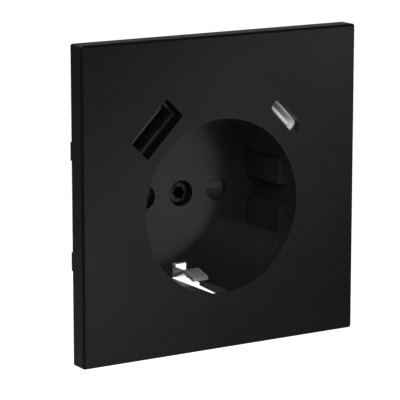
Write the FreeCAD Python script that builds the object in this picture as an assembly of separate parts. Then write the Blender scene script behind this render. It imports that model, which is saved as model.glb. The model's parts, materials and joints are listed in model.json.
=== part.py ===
"""Flush-mounted Schuko wall outlet with a USB-A and a USB-C charging port.

Frame: X to the right seen from the front, Y into the wall, Z up. Y = 0 is the wall's surface, and the
origin is the middle of the support frame's two box-screw slots. Lengths are in millimetres.

The outlet comes apart as: cover (plate, well, child-protection shutter, its guide and springs, cover screw),
steel support frame with two spreading claws, contact block (lid, base, contacts, clamps, releases), and
the USB charger (holder, ports, board with its components, cap).
"""

import math
import os

import FreeCAD
import Part

# ---- cover plate -------------------------------------------------------------------------------
COVER_SIZE = 70.0
COVER_FACE = 2.0
COVER_CORNER = 0.5
COVER_EDGE = 0.55
RIM_DEPTH = 4.5
RIM_WALL = 1.6
TAB_HEIGHT = 4.0
TAB_OFFSET = 12.0
TAB_RISE = 0.5
TAB_WIDTH = 1.2

# ---- socket well -------------------------------------------------------------------------------
WELL_DROP = 2.95
WELL_DIAMETER = 39.0
WELL_DEPTH = 17.5
WELL_WALL_FRONT = 2.0
WELL_WALL_STEP = 1.35
WELL_WALL_BACK = 0.65
WELL_STEP_DEPTH = 13.3
WELL_FLOOR = 1.6
KEY_FLAT = 17.3
KEY_START = 4.0
KEY_GROOVE = 5.0
KEY_HALF_HEIGHT = 8.3
PIN_PITCH = 19.0
PIN_HOLE_DIAMETER = 5.4
PIN_LENGTH = 19.0
PIN_DIAMETER = 4.8
EARTH_SLOT_WIDTH = 4.5
EARTH_SLOT_START = 15.85
EARTH_SLOT_FRONT = 0.6

# ---- cover screw -------------------------------------------------------------------------------
COUNTERBORE_DIAMETER = 6.0
COUNTERBORE_DEPTH = 2.5
SCREW_BOSS_WALL = 1.25
SCREW_LEDGE = 1.6
COVER_SCREW_DIAMETER = 3.0
COVER_SCREW_HEAD = 5.2
COVER_SCREW_HEAD_HEIGHT = 1.4
COVER_SCREW_SOCKET = 2.8
COVER_SCREW_SOCKET_DEPTH = 1.2
COVER_SCREW_LENGTH = 11.0
SCREW_CLEARANCE = 0.2

# ---- USB ports ---------------------------------------------------------------------------------
PORT_X = 16.55
PORT_Z = 15.7
PORT_TURN = 45.0
USB_A_SLOT = (12.6, 5.75)
USB_A_CHIMNEY = 3.7
CHIMNEY_WALL = 0.9
USB_A_MOUTH = (12.0, 5.12)
USB_C_SLOT = (9.2, 3.1)
USB_C_MOUTH = (8.34, 2.56)
SHELL_WALL = 0.3
PORT_GAP = 0.25

# ---- shutter -----------------------------------------------------------------------------------
SHUTTER_GAP = 0.15
SHUTTER_THICKNESS = 2.3
SHUTTER_TRAVEL = 6.2
BLADE_WIDTH = 7.4
BLADE_HALF_HEIGHT = 3.6
SHUTTER_BAR = 3.0
EAR_WIDTH = 2.4
EAR_HEIGHT = 1.5
SPRING_DIAMETER = 2.0
SPRING_WIRE = 0.35
SPRING_LENGTH = 11.0
SPRING_TURNS = 7
GUIDE_THICKNESS = 1.2
GUIDE_RADIUS = 18.3
GUIDE_WALL = 1.0
GUIDE_FOOT = 3.2
STAKE_DIAMETER = 1.6
STAKE_HEAD = 3.0
STAKE_HEAD_HEIGHT = 0.25
STAKE_X = 9.0

# ---- support frame -----------------------------------------------------------------------------
FRAME_SIZE = 68.0
FRAME_THICKNESS = 1.2
FRAME_CORNER = 3.0
FRAME_RECESS = 0.3
FRAME_RECESS_RADIUS = 28.3
FRAME_CLEARANCE = 0.8
SEAT_GAP = 0.1
BOX_SCREW_PITCH = 60.0
BOX_SLOT_WIDTH = 3.8
BOX_SLOT_LENGTH = 5.2
LEG_THICKNESS = 1.2
LEG_WIDTH = 14.0
LEG_GAP = 0.5
FOOT_LENGTH = 6.0

# ---- claws -------------------------------------------------------------------------------------
CLAW_THICKNESS = 1.2
CLAW_WIDTH = 9.0
CLAW_LENGTH = 11.5
CLAW_PIVOT_RADIUS = 0.9
CLAW_PIVOT_DEPTH = 2.0
CLAW_LUG = 1.0
CLAW_LUG_GAP = 0.3
CLAW_TOOTH = 0.8
CLAW_SCREW_OFFSET = 3.0
CLAW_SCREW_DIAMETER = 2.5
CLAW_SCREW_HEAD = 4.6
CLAW_SCREW_HEAD_HEIGHT = 1.6
CLAW_SCREW_LENGTH = 9.5
CLAW_TAB_DEPTH = 1.6
CLAW_TAB_THICKNESS = 1.0
CLAW_TAB_REACH = 4.6
CLAW_WINDOW = 7.0
CLAW_NUT_DIAMETER = 3.4
CLAW_NUT_LENGTH = 5.0
PIVOT_CLEARANCE = 0.05

# ---- contact block -----------------------------------------------------------------------------
STACK_GAP = 0.3
STRAP_THICKNESS = 0.8
STRAP_WIDTH = 4.0
LID_THICKNESS = 1.2
BLOCK_HALF_WIDTH = 14.8
BLOCK_TOP = 6.5
BLOCK_BOTTOM = 18.0
BLOCK_WALL = 1.2
BLOCK_REAR_WALL = 1.5
PIN_TIP_ROOM = 0.5
CONTACT_THICKNESS = 0.6
CONTACT_HEIGHT = 6.0
CONTACT_GRIP = 0.1
EARTH_NOSE = 16.6
EARTH_LEG = 18.4
EARTH_TIP = 9.0
EARTH_TAB_X = 2.3
EARTH_ARM = (-6.4, -3.6)
CLAMP_PITCH = 6.0
CLAMP_MIDDLE = 10.5
CLAMP_WIDTH = 4.4
CLAMP_THICKNESS = 0.4
WIRE_HOLE_DIAMETER = 3.0
RELEASE_WIDTH = 4.2
RELEASE_HEIGHT = 2.2
RELEASE_FLANGE = 2.9
RELEASE_INSIDE = 2.2
RELEASE_TRAVEL = 1.2
RELEASE_PROUD = 1.6
RELEASE_GAP = 0.15

# ---- USB charger -------------------------------------------------------------------------------
CHARGER_RADIUS = 28.0
CHARGER_TOP = 26.0
CHARGER_BOTTOM = 6.0
CHARGER_HALF_WIDTH = 25.2
HOLDER_DEPTH = 13.0
BOARD_THICKNESS = 1.6
CAP_DEPTH = 14.0
CAP_WALL = 1.0
CAP_INSET = 0.4
CAP_HALF_WIDTH = 16.6
CAP_BOTTOM = 11.3
EARTH_NOTCH = 3.0
EARTH_NOTCH_TOP = 17.2
CHARGER_SCREW_X = 5.6
CHARGER_SCREW_Z = 21.6
CHARGER_SCREW_DIAMETER = 1.8
TRANSFORMER_PLACE = (5.2, 14.2)
TRANSFORMER_SIZE = (9.0, 10.5, 5.0)
TRANSFORMER_LIMB = 1.3
INPUT_CAPACITOR = (-9.2, 16.6, 6.4, 11.0)
OUTPUT_CAPACITOR = (0.0, 21.3, 4.2, 8.0)
CONTROLLER_PLACE = (20.6, 13.0)
CONTROLLER_SIZE = (4.0, 1.0, 4.0)
LEAD_X = 12.1
LEAD_DIAMETER = 1.1
LEAD_DEPTH = 24.0
LEAD_TOP = 13.2

# ---- places that follow from the sizes above ---------------------------------------------------
FRONT = -(FRAME_THICKNESS + SEAT_GAP + TAB_RISE + RIM_DEPTH)
WELL_Z = -WELL_DROP
WELL_RADIUS = WELL_DIAMETER / 2
FLOOR = FRONT + WELL_DEPTH
FLOOR_BACK = FLOOR + WELL_FLOOR
PIN_X = PIN_PITCH / 2
LEDGE_TOP = FLOOR + COUNTERBORE_DEPTH
BOSS_BACK = LEDGE_TOP + SCREW_LEDGE
BOSS_RADIUS = COUNTERBORE_DIAMETER / 2 + SCREW_BOSS_WALL
SLIDER_FRONT = FLOOR_BACK + SHUTTER_GAP
SLIDER_BACK = SLIDER_FRONT + SHUTTER_THICKNESS
GUIDE_FRONT = SLIDER_BACK + SHUTTER_GAP
GUIDE_BACK = GUIDE_FRONT + GUIDE_THICKNESS
STRAP_FRONT = GUIDE_BACK + STACK_GAP
STRAP_BACK = STRAP_FRONT + STRAP_THICKNESS
LID_FRONT = STRAP_BACK
LID_BACK = LID_FRONT + LID_THICKNESS
CHAMBER_BACK = FLOOR + PIN_LENGTH + PIN_TIP_ROOM
BLOCK_BACK = CHAMBER_BACK + BLOCK_REAR_WALL
LEG_INNER = WELL_RADIUS + WELL_WALL_FRONT + LEG_GAP
LEG_OUTER = LEG_INNER + LEG_THICKNESS
HOLDER_BACK = HOLDER_DEPTH
BOARD_BACK = HOLDER_BACK + BOARD_THICKNESS
CAP_BACK = BOARD_BACK + CAP_DEPTH
CLAW_X = LEG_OUTER + PIVOT_CLEARANCE + CLAW_PIVOT_RADIUS + 0.1
EAR_X = PIN_X + BLADE_WIDTH / 2 + EAR_WIDTH / 2
EAR_BOTTOM = WELL_Z - BLADE_HALF_HEIGHT - EAR_HEIGHT
SPRING_BOTTOM = EAR_BOTTOM + EAR_HEIGHT
SPRING_TOP = SPRING_BOTTOM + SPRING_LENGTH


# ---- shapes used by several pieces -------------------------------------------------------------
def box(x0, x1, y0, y1, z0, z1):
    return Part.makeBox(x1 - x0, y1 - y0, z1 - z0, FreeCAD.Vector(x0, y0, z0))


def rod(x, z, radius, y0, y1):
    """A round bar along Y."""
    return Part.makeCylinder(radius, y1 - y0, FreeCAD.Vector(x, y0, z), FreeCAD.Vector(0, 1, 0))


def cone(x, z, radius0, radius1, y0, y1):
    return Part.makeCone(radius0, radius1, y1 - y0, FreeCAD.Vector(x, y0, z), FreeCAD.Vector(0, 1, 0))


def turned_slot(length, width, corner, y0, y1, x, z, turn):
    """A rounded rectangle, its length turned from the X axis by turn degrees about Y, from y0 to y1."""
    body = box(-length / 2, length / 2, y0, y1, -width / 2, width / 2)
    edges = [e for e in body.Edges if abs(e.tangentAt(e.FirstParameter).y) > 0.9]
    body = body.makeFillet(corner, edges)
    body.rotate(FreeCAD.Vector(), FreeCAD.Vector(0, 1, 0), -turn)
    body.translate(FreeCAD.Vector(x, 0, z))
    return body


def usb_a_shape(length, width, corner, y0, y1):
    return turned_slot(length, width, corner, y0, y1, -PORT_X, PORT_Z, PORT_TURN)


def usb_c_shape(length, width, corner, y0, y1):
    return turned_slot(length, width, corner, y0, y1, PORT_X, PORT_Z, -PORT_TURN)


def mirrored(shape):
    """The same shape on the other side of the outlet."""
    return shape.mirror(FreeCAD.Vector(), FreeCAD.Vector(1, 0, 0))


def union(shapes):
    whole = shapes[0]
    for shape in shapes[1:]:
        whole = whole.fuse(shape)
    return whole.removeSplitter()


def polygon_along_z(points, z0, z1):
    """A solid with an outline of (x, y) points, from z0 to z1."""
    corners = [FreeCAD.Vector(x, y, z0) for x, y in points]
    face = Part.Face(Part.makePolygon(corners + corners[:1]))
    return face.extrude(FreeCAD.Vector(0, 0, z1 - z0))


def polygon_along_x(points, x0, x1):
    """A solid with an outline of (y, z) points, from x0 to x1."""
    corners = [FreeCAD.Vector(x0, y, z) for y, z in points]
    face = Part.Face(Part.makePolygon(corners + corners[:1]))
    return face.extrude(FreeCAD.Vector(x1 - x0, 0, 0))


def strip(points, thickness):
    """The outline of a bent strip: its (a, b) points on one side, and offset by thickness on the other."""
    inner = []
    for i, (a, b) in enumerate(points):
        before = points[max(i - 1, 0)]
        after = points[min(i + 1, len(points) - 1)]
        normals = []
        for (a0, b0), (a1, b1) in ((before, (a, b)), ((a, b), after)):
            run = math.hypot(a1 - a0, b1 - b0)
            if run:
                normals.append(((b0 - b1) / run, (a1 - a0) / run))
        na = sum(n[0] for n in normals)
        nb = sum(n[1] for n in normals)
        scale = thickness * len(normals) / (na * na + nb * nb)
        inner.append((a + na * scale, b + nb * scale))
    return list(points) + inner[::-1]


def lobed_socket(x, z, size, depth, y):
    """A six-lobed driver socket cut into a head whose top lies at y."""
    shapes = [rod(x, z, size * 0.38, y - 0.5, y + depth)]
    for lobe in range(6):
        turn = math.radians(60 * lobe)
        shapes.append(rod(x + size * 0.37 * math.cos(turn), z + size * 0.37 * math.sin(turn), size * 0.13,
                          y - 0.5, y + depth))
    return union(shapes)


def cross_recess(x, z, size, depth, y):
    """A cross-head recess, cut into a screw whose head faces -Y at y."""
    arm = size / 4
    return union([
        box(x - size / 2, x + size / 2, y, y + depth, z - arm / 2, z + arm / 2),
        box(x - arm / 2, x + arm / 2, y, y + depth, z - size / 2, z + size / 2),
    ])


# ---- cover -------------------------------------------------------------------------------------
def port_openings():
    """What is cut from the cover for the two USB ports."""
    return [
        usb_a_shape(*USB_A_SLOT, 0.35, FRONT - 1, FRONT + USB_A_CHIMNEY + 1),
        usb_c_shape(*USB_C_SLOT, USB_C_SLOT[1] / 2 - 0.1, FRONT - 1, FRONT + COVER_FACE + 1),
    ]


def earth_openings():
    """The two slots along the well's wall and through its floor, for the earth contacts."""
    reach = WELL_RADIUS + WELL_WALL_FRONT + 1
    slots = []
    for sign in (-1, 1):
        low, high = sorted((WELL_Z + sign * EARTH_SLOT_START, WELL_Z + sign * reach))
        slots.append(box(-EARTH_SLOT_WIDTH / 2, EARTH_SLOT_WIDTH / 2, FRONT + EARTH_SLOT_FRONT, FLOOR_BACK + 1,
                         low, high))
    return slots


def cover_plate():
    """The square face with its rim, the tabs that rest on the frame, and the USB-A surround."""
    half = COVER_SIZE / 2
    rim_back = FRONT + RIM_DEPTH
    shell = box(-half, half, FRONT, rim_back, -half, half)
    upright = [e for e in shell.Edges if abs(e.tangentAt(e.FirstParameter).y) > 0.9]
    shell = shell.makeFillet(COVER_CORNER, upright)
    front_edges = [e for e in shell.Edges if abs(e.BoundBox.YMin - FRONT) < 0.01 and e.BoundBox.YLength < 0.01]
    shell = shell.makeFillet(COVER_EDGE, front_edges)
    inner = half - RIM_WALL
    shell = shell.cut(box(-inner, inner, FRONT + COVER_FACE, rim_back, -inner, inner))
    tabs = [
        box(side * half - (TAB_WIDTH if side > 0 else 0), side * half + (0 if side > 0 else TAB_WIDTH),
            rim_back, rim_back + TAB_RISE, z - TAB_HEIGHT / 2, z + TAB_HEIGHT / 2)
        for side in (-1, 1) for z in (-TAB_OFFSET, TAB_OFFSET)
    ]
    surround = usb_a_shape(USB_A_SLOT[0] + 2 * CHIMNEY_WALL, USB_A_SLOT[1] + 2 * CHIMNEY_WALL, 1.2,
                           FRONT + COVER_FACE, FRONT + USB_A_CHIMNEY)
    surround = surround.cut(rod(0, WELL_Z, WELL_RADIUS + WELL_WALL_FRONT, FRONT, FLOOR))
    plate = union([shell, surround] + tabs)
    for cut in [rod(0, WELL_Z, WELL_RADIUS, FRONT - 1, FLOOR)] + port_openings() + earth_openings():
        plate = plate.cut(cut)
    return plate


def socket_well():
    """The round well behind the face: wall, keys for the plug, floor, screw boss and the guide's stakes."""
    step = FRONT + WELL_STEP_DEPTH
    start = FRONT + COVER_FACE
    outside = [
        cone(0, WELL_Z, WELL_RADIUS + WELL_WALL_FRONT, WELL_RADIUS + WELL_WALL_STEP, start, step),
        rod(0, WELL_Z, WELL_RADIUS + WELL_WALL_BACK, step, FLOOR_BACK),
        rod(0, WELL_Z, BOSS_RADIUS, FLOOR, BOSS_BACK),
    ]
    for side in (-1, 1):
        x = side * STAKE_X
        outside.append(rod(x, stake_height(), STAKE_DIAMETER / 2, FLOOR, GUIDE_BACK))
        outside.append(rod(x, stake_height(), STAKE_HEAD / 2, GUIDE_BACK, GUIDE_BACK + STAKE_HEAD_HEIGHT))
    hollow = rod(0, WELL_Z, WELL_RADIUS, FRONT, FLOOR)
    for side in (-1, 1):
        for sign in (-1, 1):
            low, high = sorted((sign * KEY_GROOVE / 2, sign * KEY_HALF_HEIGHT))
            near, far = sorted((side * KEY_FLAT, side * WELL_RADIUS))
            hollow = hollow.cut(box(near, far, FRONT + KEY_START, FLOOR, WELL_Z + low, WELL_Z + high))
    well = union(outside).cut(hollow)
    cuts = [rod(side * PIN_X, WELL_Z, PIN_HOLE_DIAMETER / 2, FLOOR - 1, FLOOR_BACK + 1) for side in (-1, 1)]
    cuts.append(rod(0, WELL_Z, COUNTERBORE_DIAMETER / 2, FLOOR - 1, LEDGE_TOP))
    cuts.append(rod(0, WELL_Z, COVER_SCREW_DIAMETER / 2 + SCREW_CLEARANCE, FLOOR, BOSS_BACK + 1))
    for cut in cuts + port_openings() + earth_openings():
        well = well.cut(cut)
    return well


def shutter_slider():
    """Two blades behind the pin holes, joined over the screw boss, with an ear under each spring."""
    bar_low = WELL_Z + BOSS_RADIUS + 0.4
    bar_high = bar_low + SHUTTER_BAR
    pieces = []
    for side in (-1, 1):
        middle = side * PIN_X
        pieces.append(box(middle - BLADE_WIDTH / 2, middle + BLADE_WIDTH / 2, SLIDER_FRONT, SLIDER_BACK,
                          WELL_Z - BLADE_HALF_HEIGHT, bar_high))
        ear = side * EAR_X
        near, far = sorted((side * (PIN_X + BLADE_WIDTH / 2 - 1), ear + side * EAR_WIDTH / 2))
        pieces.append(box(near, far, SLIDER_FRONT, SLIDER_BACK, EAR_BOTTOM, SPRING_BOTTOM))
        foot_near, foot_far = sorted((middle - side * BLADE_WIDTH / 2, ear))
        pieces.append(box(foot_near, foot_far, SLIDER_FRONT, SLIDER_BACK, EAR_BOTTOM, SPRING_BOTTOM))
    pieces.append(box(-PIN_X, PIN_X, SLIDER_FRONT, SLIDER_BACK, bar_low, bar_high))
    slider = union(pieces)
    ramp_depth = SHUTTER_THICKNESS * 0.7
    for side in (-1, 1):
        x = side * PIN_X
        ramp = polygon_along_x([(SLIDER_FRONT - 0.1, WELL_Z), (SLIDER_FRONT, WELL_Z),
                                (SLIDER_FRONT + ramp_depth, WELL_Z - BLADE_HALF_HEIGHT),
                                (SLIDER_FRONT - 0.1, WELL_Z - BLADE_HALF_HEIGHT)],
                               x - PIN_HOLE_DIAMETER / 2, x + PIN_HOLE_DIAMETER / 2)
        slider = slider.cut(ramp)
    return slider


def shutter_guide():
    """The tray that holds the slider and the springs against the back of the well's floor."""
    outline = rod(0, WELL_Z, GUIDE_RADIUS, FLOOR_BACK, GUIDE_BACK)
    bottom = EAR_BOTTOM - SHUTTER_GAP
    high = SPRING_TOP + SHUTTER_GAP + GUIDE_WALL + 2
    inside = EAR_X + EAR_WIDTH / 2 + SHUTTER_GAP
    tray = outline.common(box(-inside - GUIDE_WALL, inside + GUIDE_WALL, FLOOR_BACK, GUIDE_BACK,
                              bottom - GUIDE_FOOT, high))
    tray = tray.cut(box(-inside, inside, FLOOR_BACK, GUIDE_FRONT, bottom, high + 1))
    for side in (-1, 1):
        near, far = sorted((side * (EAR_X - EAR_WIDTH / 2 + 0.1), side * inside))
        stop = box(near, far, FLOOR_BACK, GUIDE_FRONT, SPRING_TOP, SPRING_TOP + GUIDE_WALL)
        tray = tray.fuse(stop.common(outline))
        tray = tray.cut(rod(side * PIN_X, WELL_Z, PIN_HOLE_DIAMETER / 2 + 0.2, FLOOR_BACK, GUIDE_BACK + 1))
        tray = tray.cut(rod(side * STAKE_X, stake_height(), STAKE_DIAMETER / 2 + 0.02, FLOOR_BACK - 1,
                            GUIDE_BACK + 1))
    tray = tray.cut(rod(0, WELL_Z, BOSS_RADIUS + 0.2, FLOOR_BACK, GUIDE_BACK + 1))
    return tray.removeSplitter()


def stake_height():
    return EAR_BOTTOM - SHUTTER_GAP - GUIDE_FOOT / 2


def shutter_spring(side):
    """A compression coil between the slider's ear and the guide's stop."""
    radius = (SPRING_DIAMETER - SPRING_WIRE) / 2
    length = SPRING_LENGTH - 2 * SPRING_WIRE
    helix = Part.makeHelix(length / SPRING_TURNS, length, radius)
    section = Part.Wire(Part.Circle(FreeCAD.Vector(radius, 0, 0), FreeCAD.Vector(0, 1, 0), SPRING_WIRE / 2).toShape())
    coil = Part.Wire(helix.Edges).makePipeShell([section], True, True)
    coil.translate(FreeCAD.Vector(side * EAR_X, (SLIDER_FRONT + SLIDER_BACK) / 2, SPRING_BOTTOM + SPRING_WIRE))
    return coil


def cover_screw():
    head_top = LEDGE_TOP - COVER_SCREW_HEAD_HEIGHT
    screw = union([
        rod(0, WELL_Z, COVER_SCREW_HEAD / 2, head_top, LEDGE_TOP),
        rod(0, WELL_Z, COVER_SCREW_DIAMETER / 2, LEDGE_TOP, LEDGE_TOP + COVER_SCREW_LENGTH),
    ])
    return screw.cut(lobed_socket(0, WELL_Z, COVER_SCREW_SOCKET, COVER_SCREW_SOCKET_DEPTH, head_top))


def cover_screw_ring():
    """The ring behind the boss that keeps the screw captive in the cover."""
    ring = rod(0, WELL_Z, COVER_SCREW_DIAMETER / 2 + 1.0, BOSS_BACK, BOSS_BACK + 0.6)
    return ring.cut(rod(0, WELL_Z, COVER_SCREW_DIAMETER / 2 + 0.02, BOSS_BACK - 1, BOSS_BACK + 2))


# ---- support frame and claws -------------------------------------------------------------------
def frame_window():
    gap = FRAME_CLEARANCE
    return union([
        rod(0, WELL_Z, WELL_RADIUS + WELL_WALL_FRONT + gap - 0.3, -FRAME_THICKNESS - 1, 1),
        usb_a_shape(USB_A_SLOT[0] + 2 * CHIMNEY_WALL + 2 * gap, USB_A_SLOT[1] + 2 * CHIMNEY_WALL + 2 * gap, 1.2,
                    -FRAME_THICKNESS - 1, 1),
        usb_c_shape(USB_C_MOUTH[0] + 3 * gap + 1, USB_C_MOUTH[1] + 3 * gap + 1, 1.0, -FRAME_THICKNESS - 1, 1),
    ])


def support_frame():
    half = FRAME_SIZE / 2
    plate = box(-half, half, -FRAME_THICKNESS, 0, -half, half)
    upright = [e for e in plate.Edges if abs(e.tangentAt(e.FirstParameter).y) > 0.9]
    plate = plate.makeFillet(FRAME_CORNER, upright)
    plate = plate.cut(rod(0, 0, FRAME_RECESS_RADIUS, -FRAME_RECESS, 1))
    plate = plate.cut(frame_window())
    legs = []
    for side in (-1, 1):
        near, far = sorted((side * LEG_INNER, side * LEG_OUTER))
        legs.append(box(near, far, -FRAME_RECESS - 0.4, STRAP_BACK, WELL_Z - LEG_WIDTH / 2, WELL_Z + LEG_WIDTH / 2))
        near, far = sorted((side * (LEG_OUTER - FOOT_LENGTH), side * LEG_OUTER))
        legs.append(box(near, far, STRAP_FRONT, STRAP_BACK, WELL_Z - LEG_WIDTH / 2, WELL_Z + LEG_WIDTH / 2))
        for sign in (-1, 1):
            lug_near = CLAW_WIDTH / 2 + CLAW_LUG_GAP
            low, high = sorted((WELL_Z + sign * lug_near, WELL_Z + sign * (lug_near + CLAW_LUG)))
            near, far = sorted((side * (LEG_OUTER - 0.2), side * (CLAW_X + CLAW_PIVOT_RADIUS + 0.9)))
            legs.append(box(near, far, -FRAME_RECESS - 0.4, CLAW_PIVOT_DEPTH + CLAW_PIVOT_RADIUS + 0.8, low, high))
    frame = union([plate] + legs)
    for side in (-1, 1):
        bore = Part.makeCylinder(CLAW_PIVOT_RADIUS + PIVOT_CLEARANCE, CLAW_WIDTH + 6,
                                 FreeCAD.Vector(side * CLAW_X, CLAW_PIVOT_DEPTH, WELL_Z - CLAW_WIDTH / 2 - 3),
                                 FreeCAD.Vector(0, 0, 1))
        frame = frame.cut(bore)
        frame = frame.cut(rod(side * (CLAW_X + CLAW_SCREW_OFFSET), WELL_Z, CLAW_SCREW_DIAMETER / 2 + SCREW_CLEARANCE,
                              -FRAME_THICKNESS - 1, 1))
        frame = frame.cut(rod(side * frame_screw_x(), WELL_Z, 1.3, STRAP_FRONT - 1, STRAP_BACK + 1))
        frame = frame.cut(rod(side * CHARGER_SCREW_X, CHARGER_SCREW_Z, CHARGER_SCREW_DIAMETER / 2,
                              -FRAME_THICKNESS - 1, 1))
    for sign in (-1, 1):
        slot = turned_slot(BOX_SLOT_LENGTH, BOX_SLOT_WIDTH, BOX_SLOT_WIDTH / 2 - 0.001, -FRAME_THICKNESS - 1, 1,
                           0, sign * BOX_SCREW_PITCH / 2, 90)
        frame = frame.cut(slot)
    return frame


def frame_screw_x():
    return LEG_OUTER - FOOT_LENGTH / 2 - 0.2


def frame_screws():
    """Two screws from the front through the frame's feet into the contact lid."""
    screws = []
    for side in (-1, 1):
        x = side * frame_screw_x()
        head = rod(x, WELL_Z, 2.0, STRAP_FRONT - 1.0, STRAP_FRONT)
        head = head.cut(cross_recess(x, WELL_Z, 2.2, 0.6, STRAP_FRONT - 1.0))
        screws.append(union([head, rod(x, WELL_Z, 1.1, STRAP_FRONT, LID_BACK)]))
    return Part.makeCompound(screws)


def claw():
    """The right-hand claw: trunnions in the frame's lugs, a fork for its screw, teeth at its free end."""
    inner = CLAW_X - CLAW_THICKNESS / 2
    outer = CLAW_X + CLAW_THICKNESS / 2
    low = WELL_Z - CLAW_WIDTH / 2
    high = WELL_Z + CLAW_WIDTH / 2
    end = CLAW_PIVOT_DEPTH + CLAW_LENGTH
    reach = CLAW_LUG_GAP + CLAW_LUG
    fork = CLAW_PIVOT_DEPTH + CLAW_TAB_DEPTH
    half = CLAW_TAB_THICKNESS / 2
    pieces = [
        box(inner, outer, CLAW_PIVOT_DEPTH, end, low, high),
        Part.makeCylinder(CLAW_PIVOT_RADIUS, CLAW_WIDTH + 2 * reach,
                          FreeCAD.Vector(CLAW_X, CLAW_PIVOT_DEPTH, low - reach), FreeCAD.Vector(0, 0, 1)),
        box(inner, CLAW_X + CLAW_TAB_REACH, fork - half, fork + half, WELL_Z - 2.6, WELL_Z + 2.6),
    ]
    for z in (low, WELL_Z - 1.0, high - 2.0):
        pieces.append(polygon_along_z([(outer - 0.1, end), (outer - 0.1, end - 2.0), (outer + CLAW_TOOTH, end)],
                                      z, z + 2.0))
    whole = union(pieces)
    slot_half = CLAW_SCREW_DIAMETER / 2 + SCREW_CLEARANCE
    whole = whole.cut(box(outer + 0.1, CLAW_X + CLAW_TAB_REACH + 1, fork - 1, fork + 1,
                          WELL_Z - slot_half, WELL_Z + slot_half))
    window_half = CLAW_NUT_LENGTH / 2 + 0.25
    return whole.cut(box(inner - 1, outer + 0.05, fork + half + 0.05, fork + half + 0.05 + CLAW_WINDOW,
                         WELL_Z - window_half, WELL_Z + window_half))


def claw_nut():
    """The right-hand claw's barrel nut, which the screw draws against the fork."""
    x = CLAW_X + CLAW_SCREW_OFFSET
    y = CLAW_PIVOT_DEPTH + CLAW_TAB_DEPTH + CLAW_TAB_THICKNESS / 2 + CLAW_NUT_DIAMETER / 2 + 0.05
    barrel = Part.makeCylinder(CLAW_NUT_DIAMETER / 2, CLAW_NUT_LENGTH,
                               FreeCAD.Vector(x, y, WELL_Z - CLAW_NUT_LENGTH / 2), FreeCAD.Vector(0, 0, 1))
    return barrel.cut(rod(x, WELL_Z, CLAW_SCREW_DIAMETER / 2 + PIVOT_CLEARANCE, y - 3, y + 3))


def claw_screw():
    x = CLAW_X + CLAW_SCREW_OFFSET
    head_top = -FRAME_THICKNESS - CLAW_SCREW_HEAD_HEIGHT
    screw = union([
        rod(x, WELL_Z, CLAW_SCREW_HEAD / 2, head_top, -FRAME_THICKNESS),
        rod(x, WELL_Z, CLAW_SCREW_DIAMETER / 2, -FRAME_THICKNESS, CLAW_SCREW_LENGTH),
    ])
    return screw.cut(cross_recess(x, WELL_Z, CLAW_SCREW_HEAD * 0.6, CLAW_SCREW_HEAD_HEIGHT * 0.6, head_top))


# ---- contact block -----------------------------------------------------------------------------
def pole_chamber():
    """The right-hand pole's hollow: the contact's upper part and the terminal below it."""
    near = PIN_X - 3.9
    far = BLOCK_HALF_WIDTH - BLOCK_WALL
    return box(near, far, LID_BACK, CHAMBER_BACK, WELL_Z - BLOCK_BOTTOM + BLOCK_WALL, WELL_Z + BLOCK_TOP - 2)


def earth_chamber():
    half = PIN_X - 3.9 - BLOCK_WALL
    return box(-half, half, LID_BACK, CHAMBER_BACK, WELL_Z - BLOCK_BOTTOM + BLOCK_WALL, WELL_Z - 5.2)


def clamp_heights():
    return (WELL_Z - CLAMP_MIDDLE - CLAMP_PITCH / 2, WELL_Z - CLAMP_MIDDLE + CLAMP_PITCH / 2)


def pole_x(pole):
    return {"line": PIN_X, "neutral": -PIN_X, "earth": 0.0}[pole]


def release_shape(pole, grow):
    """The stem of a release button, with room round it when it is cut from the base."""
    x = pole_x(pole)
    z = WELL_Z - CLAMP_MIDDLE
    return box(x - RELEASE_WIDTH / 2 - grow, x + RELEASE_WIDTH / 2 + grow, CHAMBER_BACK - RELEASE_INSIDE - grow,
               BLOCK_BACK + RELEASE_PROUD, z - RELEASE_HEIGHT / 2 - grow, z + RELEASE_HEIGHT / 2 + grow)


def contact_base():
    block = box(-BLOCK_HALF_WIDTH, BLOCK_HALF_WIDTH, LID_BACK, BLOCK_BACK, WELL_Z - BLOCK_BOTTOM, WELL_Z + BLOCK_TOP)
    along = [e for e in block.Edges if abs(e.tangentAt(e.FirstParameter).y) > 0.9]
    block = block.makeFillet(1.0, along)
    block = block.cut(pole_chamber()).cut(mirrored(pole_chamber())).cut(earth_chamber())
    block = block.cut(nut_shape(0.1, LID_BACK, NUT_BACK))
    block = block.cut(rod(0, WELL_Z, COVER_SCREW_DIAMETER / 2 + SCREW_CLEARANCE, LID_BACK, SCREW_END + 0.5))
    for pole in ("line", "neutral", "earth"):
        block = block.cut(release_shape(pole, RELEASE_GAP))
        for z in clamp_heights():
            block = block.cut(rod(pole_x(pole), z, WIRE_HOLE_DIAMETER / 2, CHAMBER_BACK - 1, BLOCK_BACK + 1))
    for x, z in base_screw_places():
        block = block.cut(rod(x, z, 1.02, LID_BACK - 1, LID_BACK + 6))
    for side in (-1, 1):
        block = block.cut(Part.makeCylinder(LEAD_DIAMETER / 2 + 0.1, 10, FreeCAD.Vector(side * LEAD_X, LEAD_DEPTH, 0),
                                            FreeCAD.Vector(0, 0, 1)))
    return block


NUT_WIDTH = 5.5
NUT_THICKNESS = 2.4
NUT_BACK = LID_BACK + NUT_THICKNESS
SCREW_END = LEDGE_TOP + COVER_SCREW_LENGTH


def nut_shape(grow, y0, y1):
    half = NUT_WIDTH / 2 + grow
    return box(-half, half, y0, y1, WELL_Z - half, WELL_Z + half)


def cover_nut():
    nut = nut_shape(0, LID_BACK + 0.05, NUT_BACK - 0.05)
    return nut.cut(rod(0, WELL_Z, COVER_SCREW_DIAMETER / 2 + PIVOT_CLEARANCE, LID_BACK, NUT_BACK))


def base_screw_places():
    return ((-5.0, WELL_Z + BLOCK_TOP - 2.0), (5.0, WELL_Z + BLOCK_TOP - 2.0))


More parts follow.
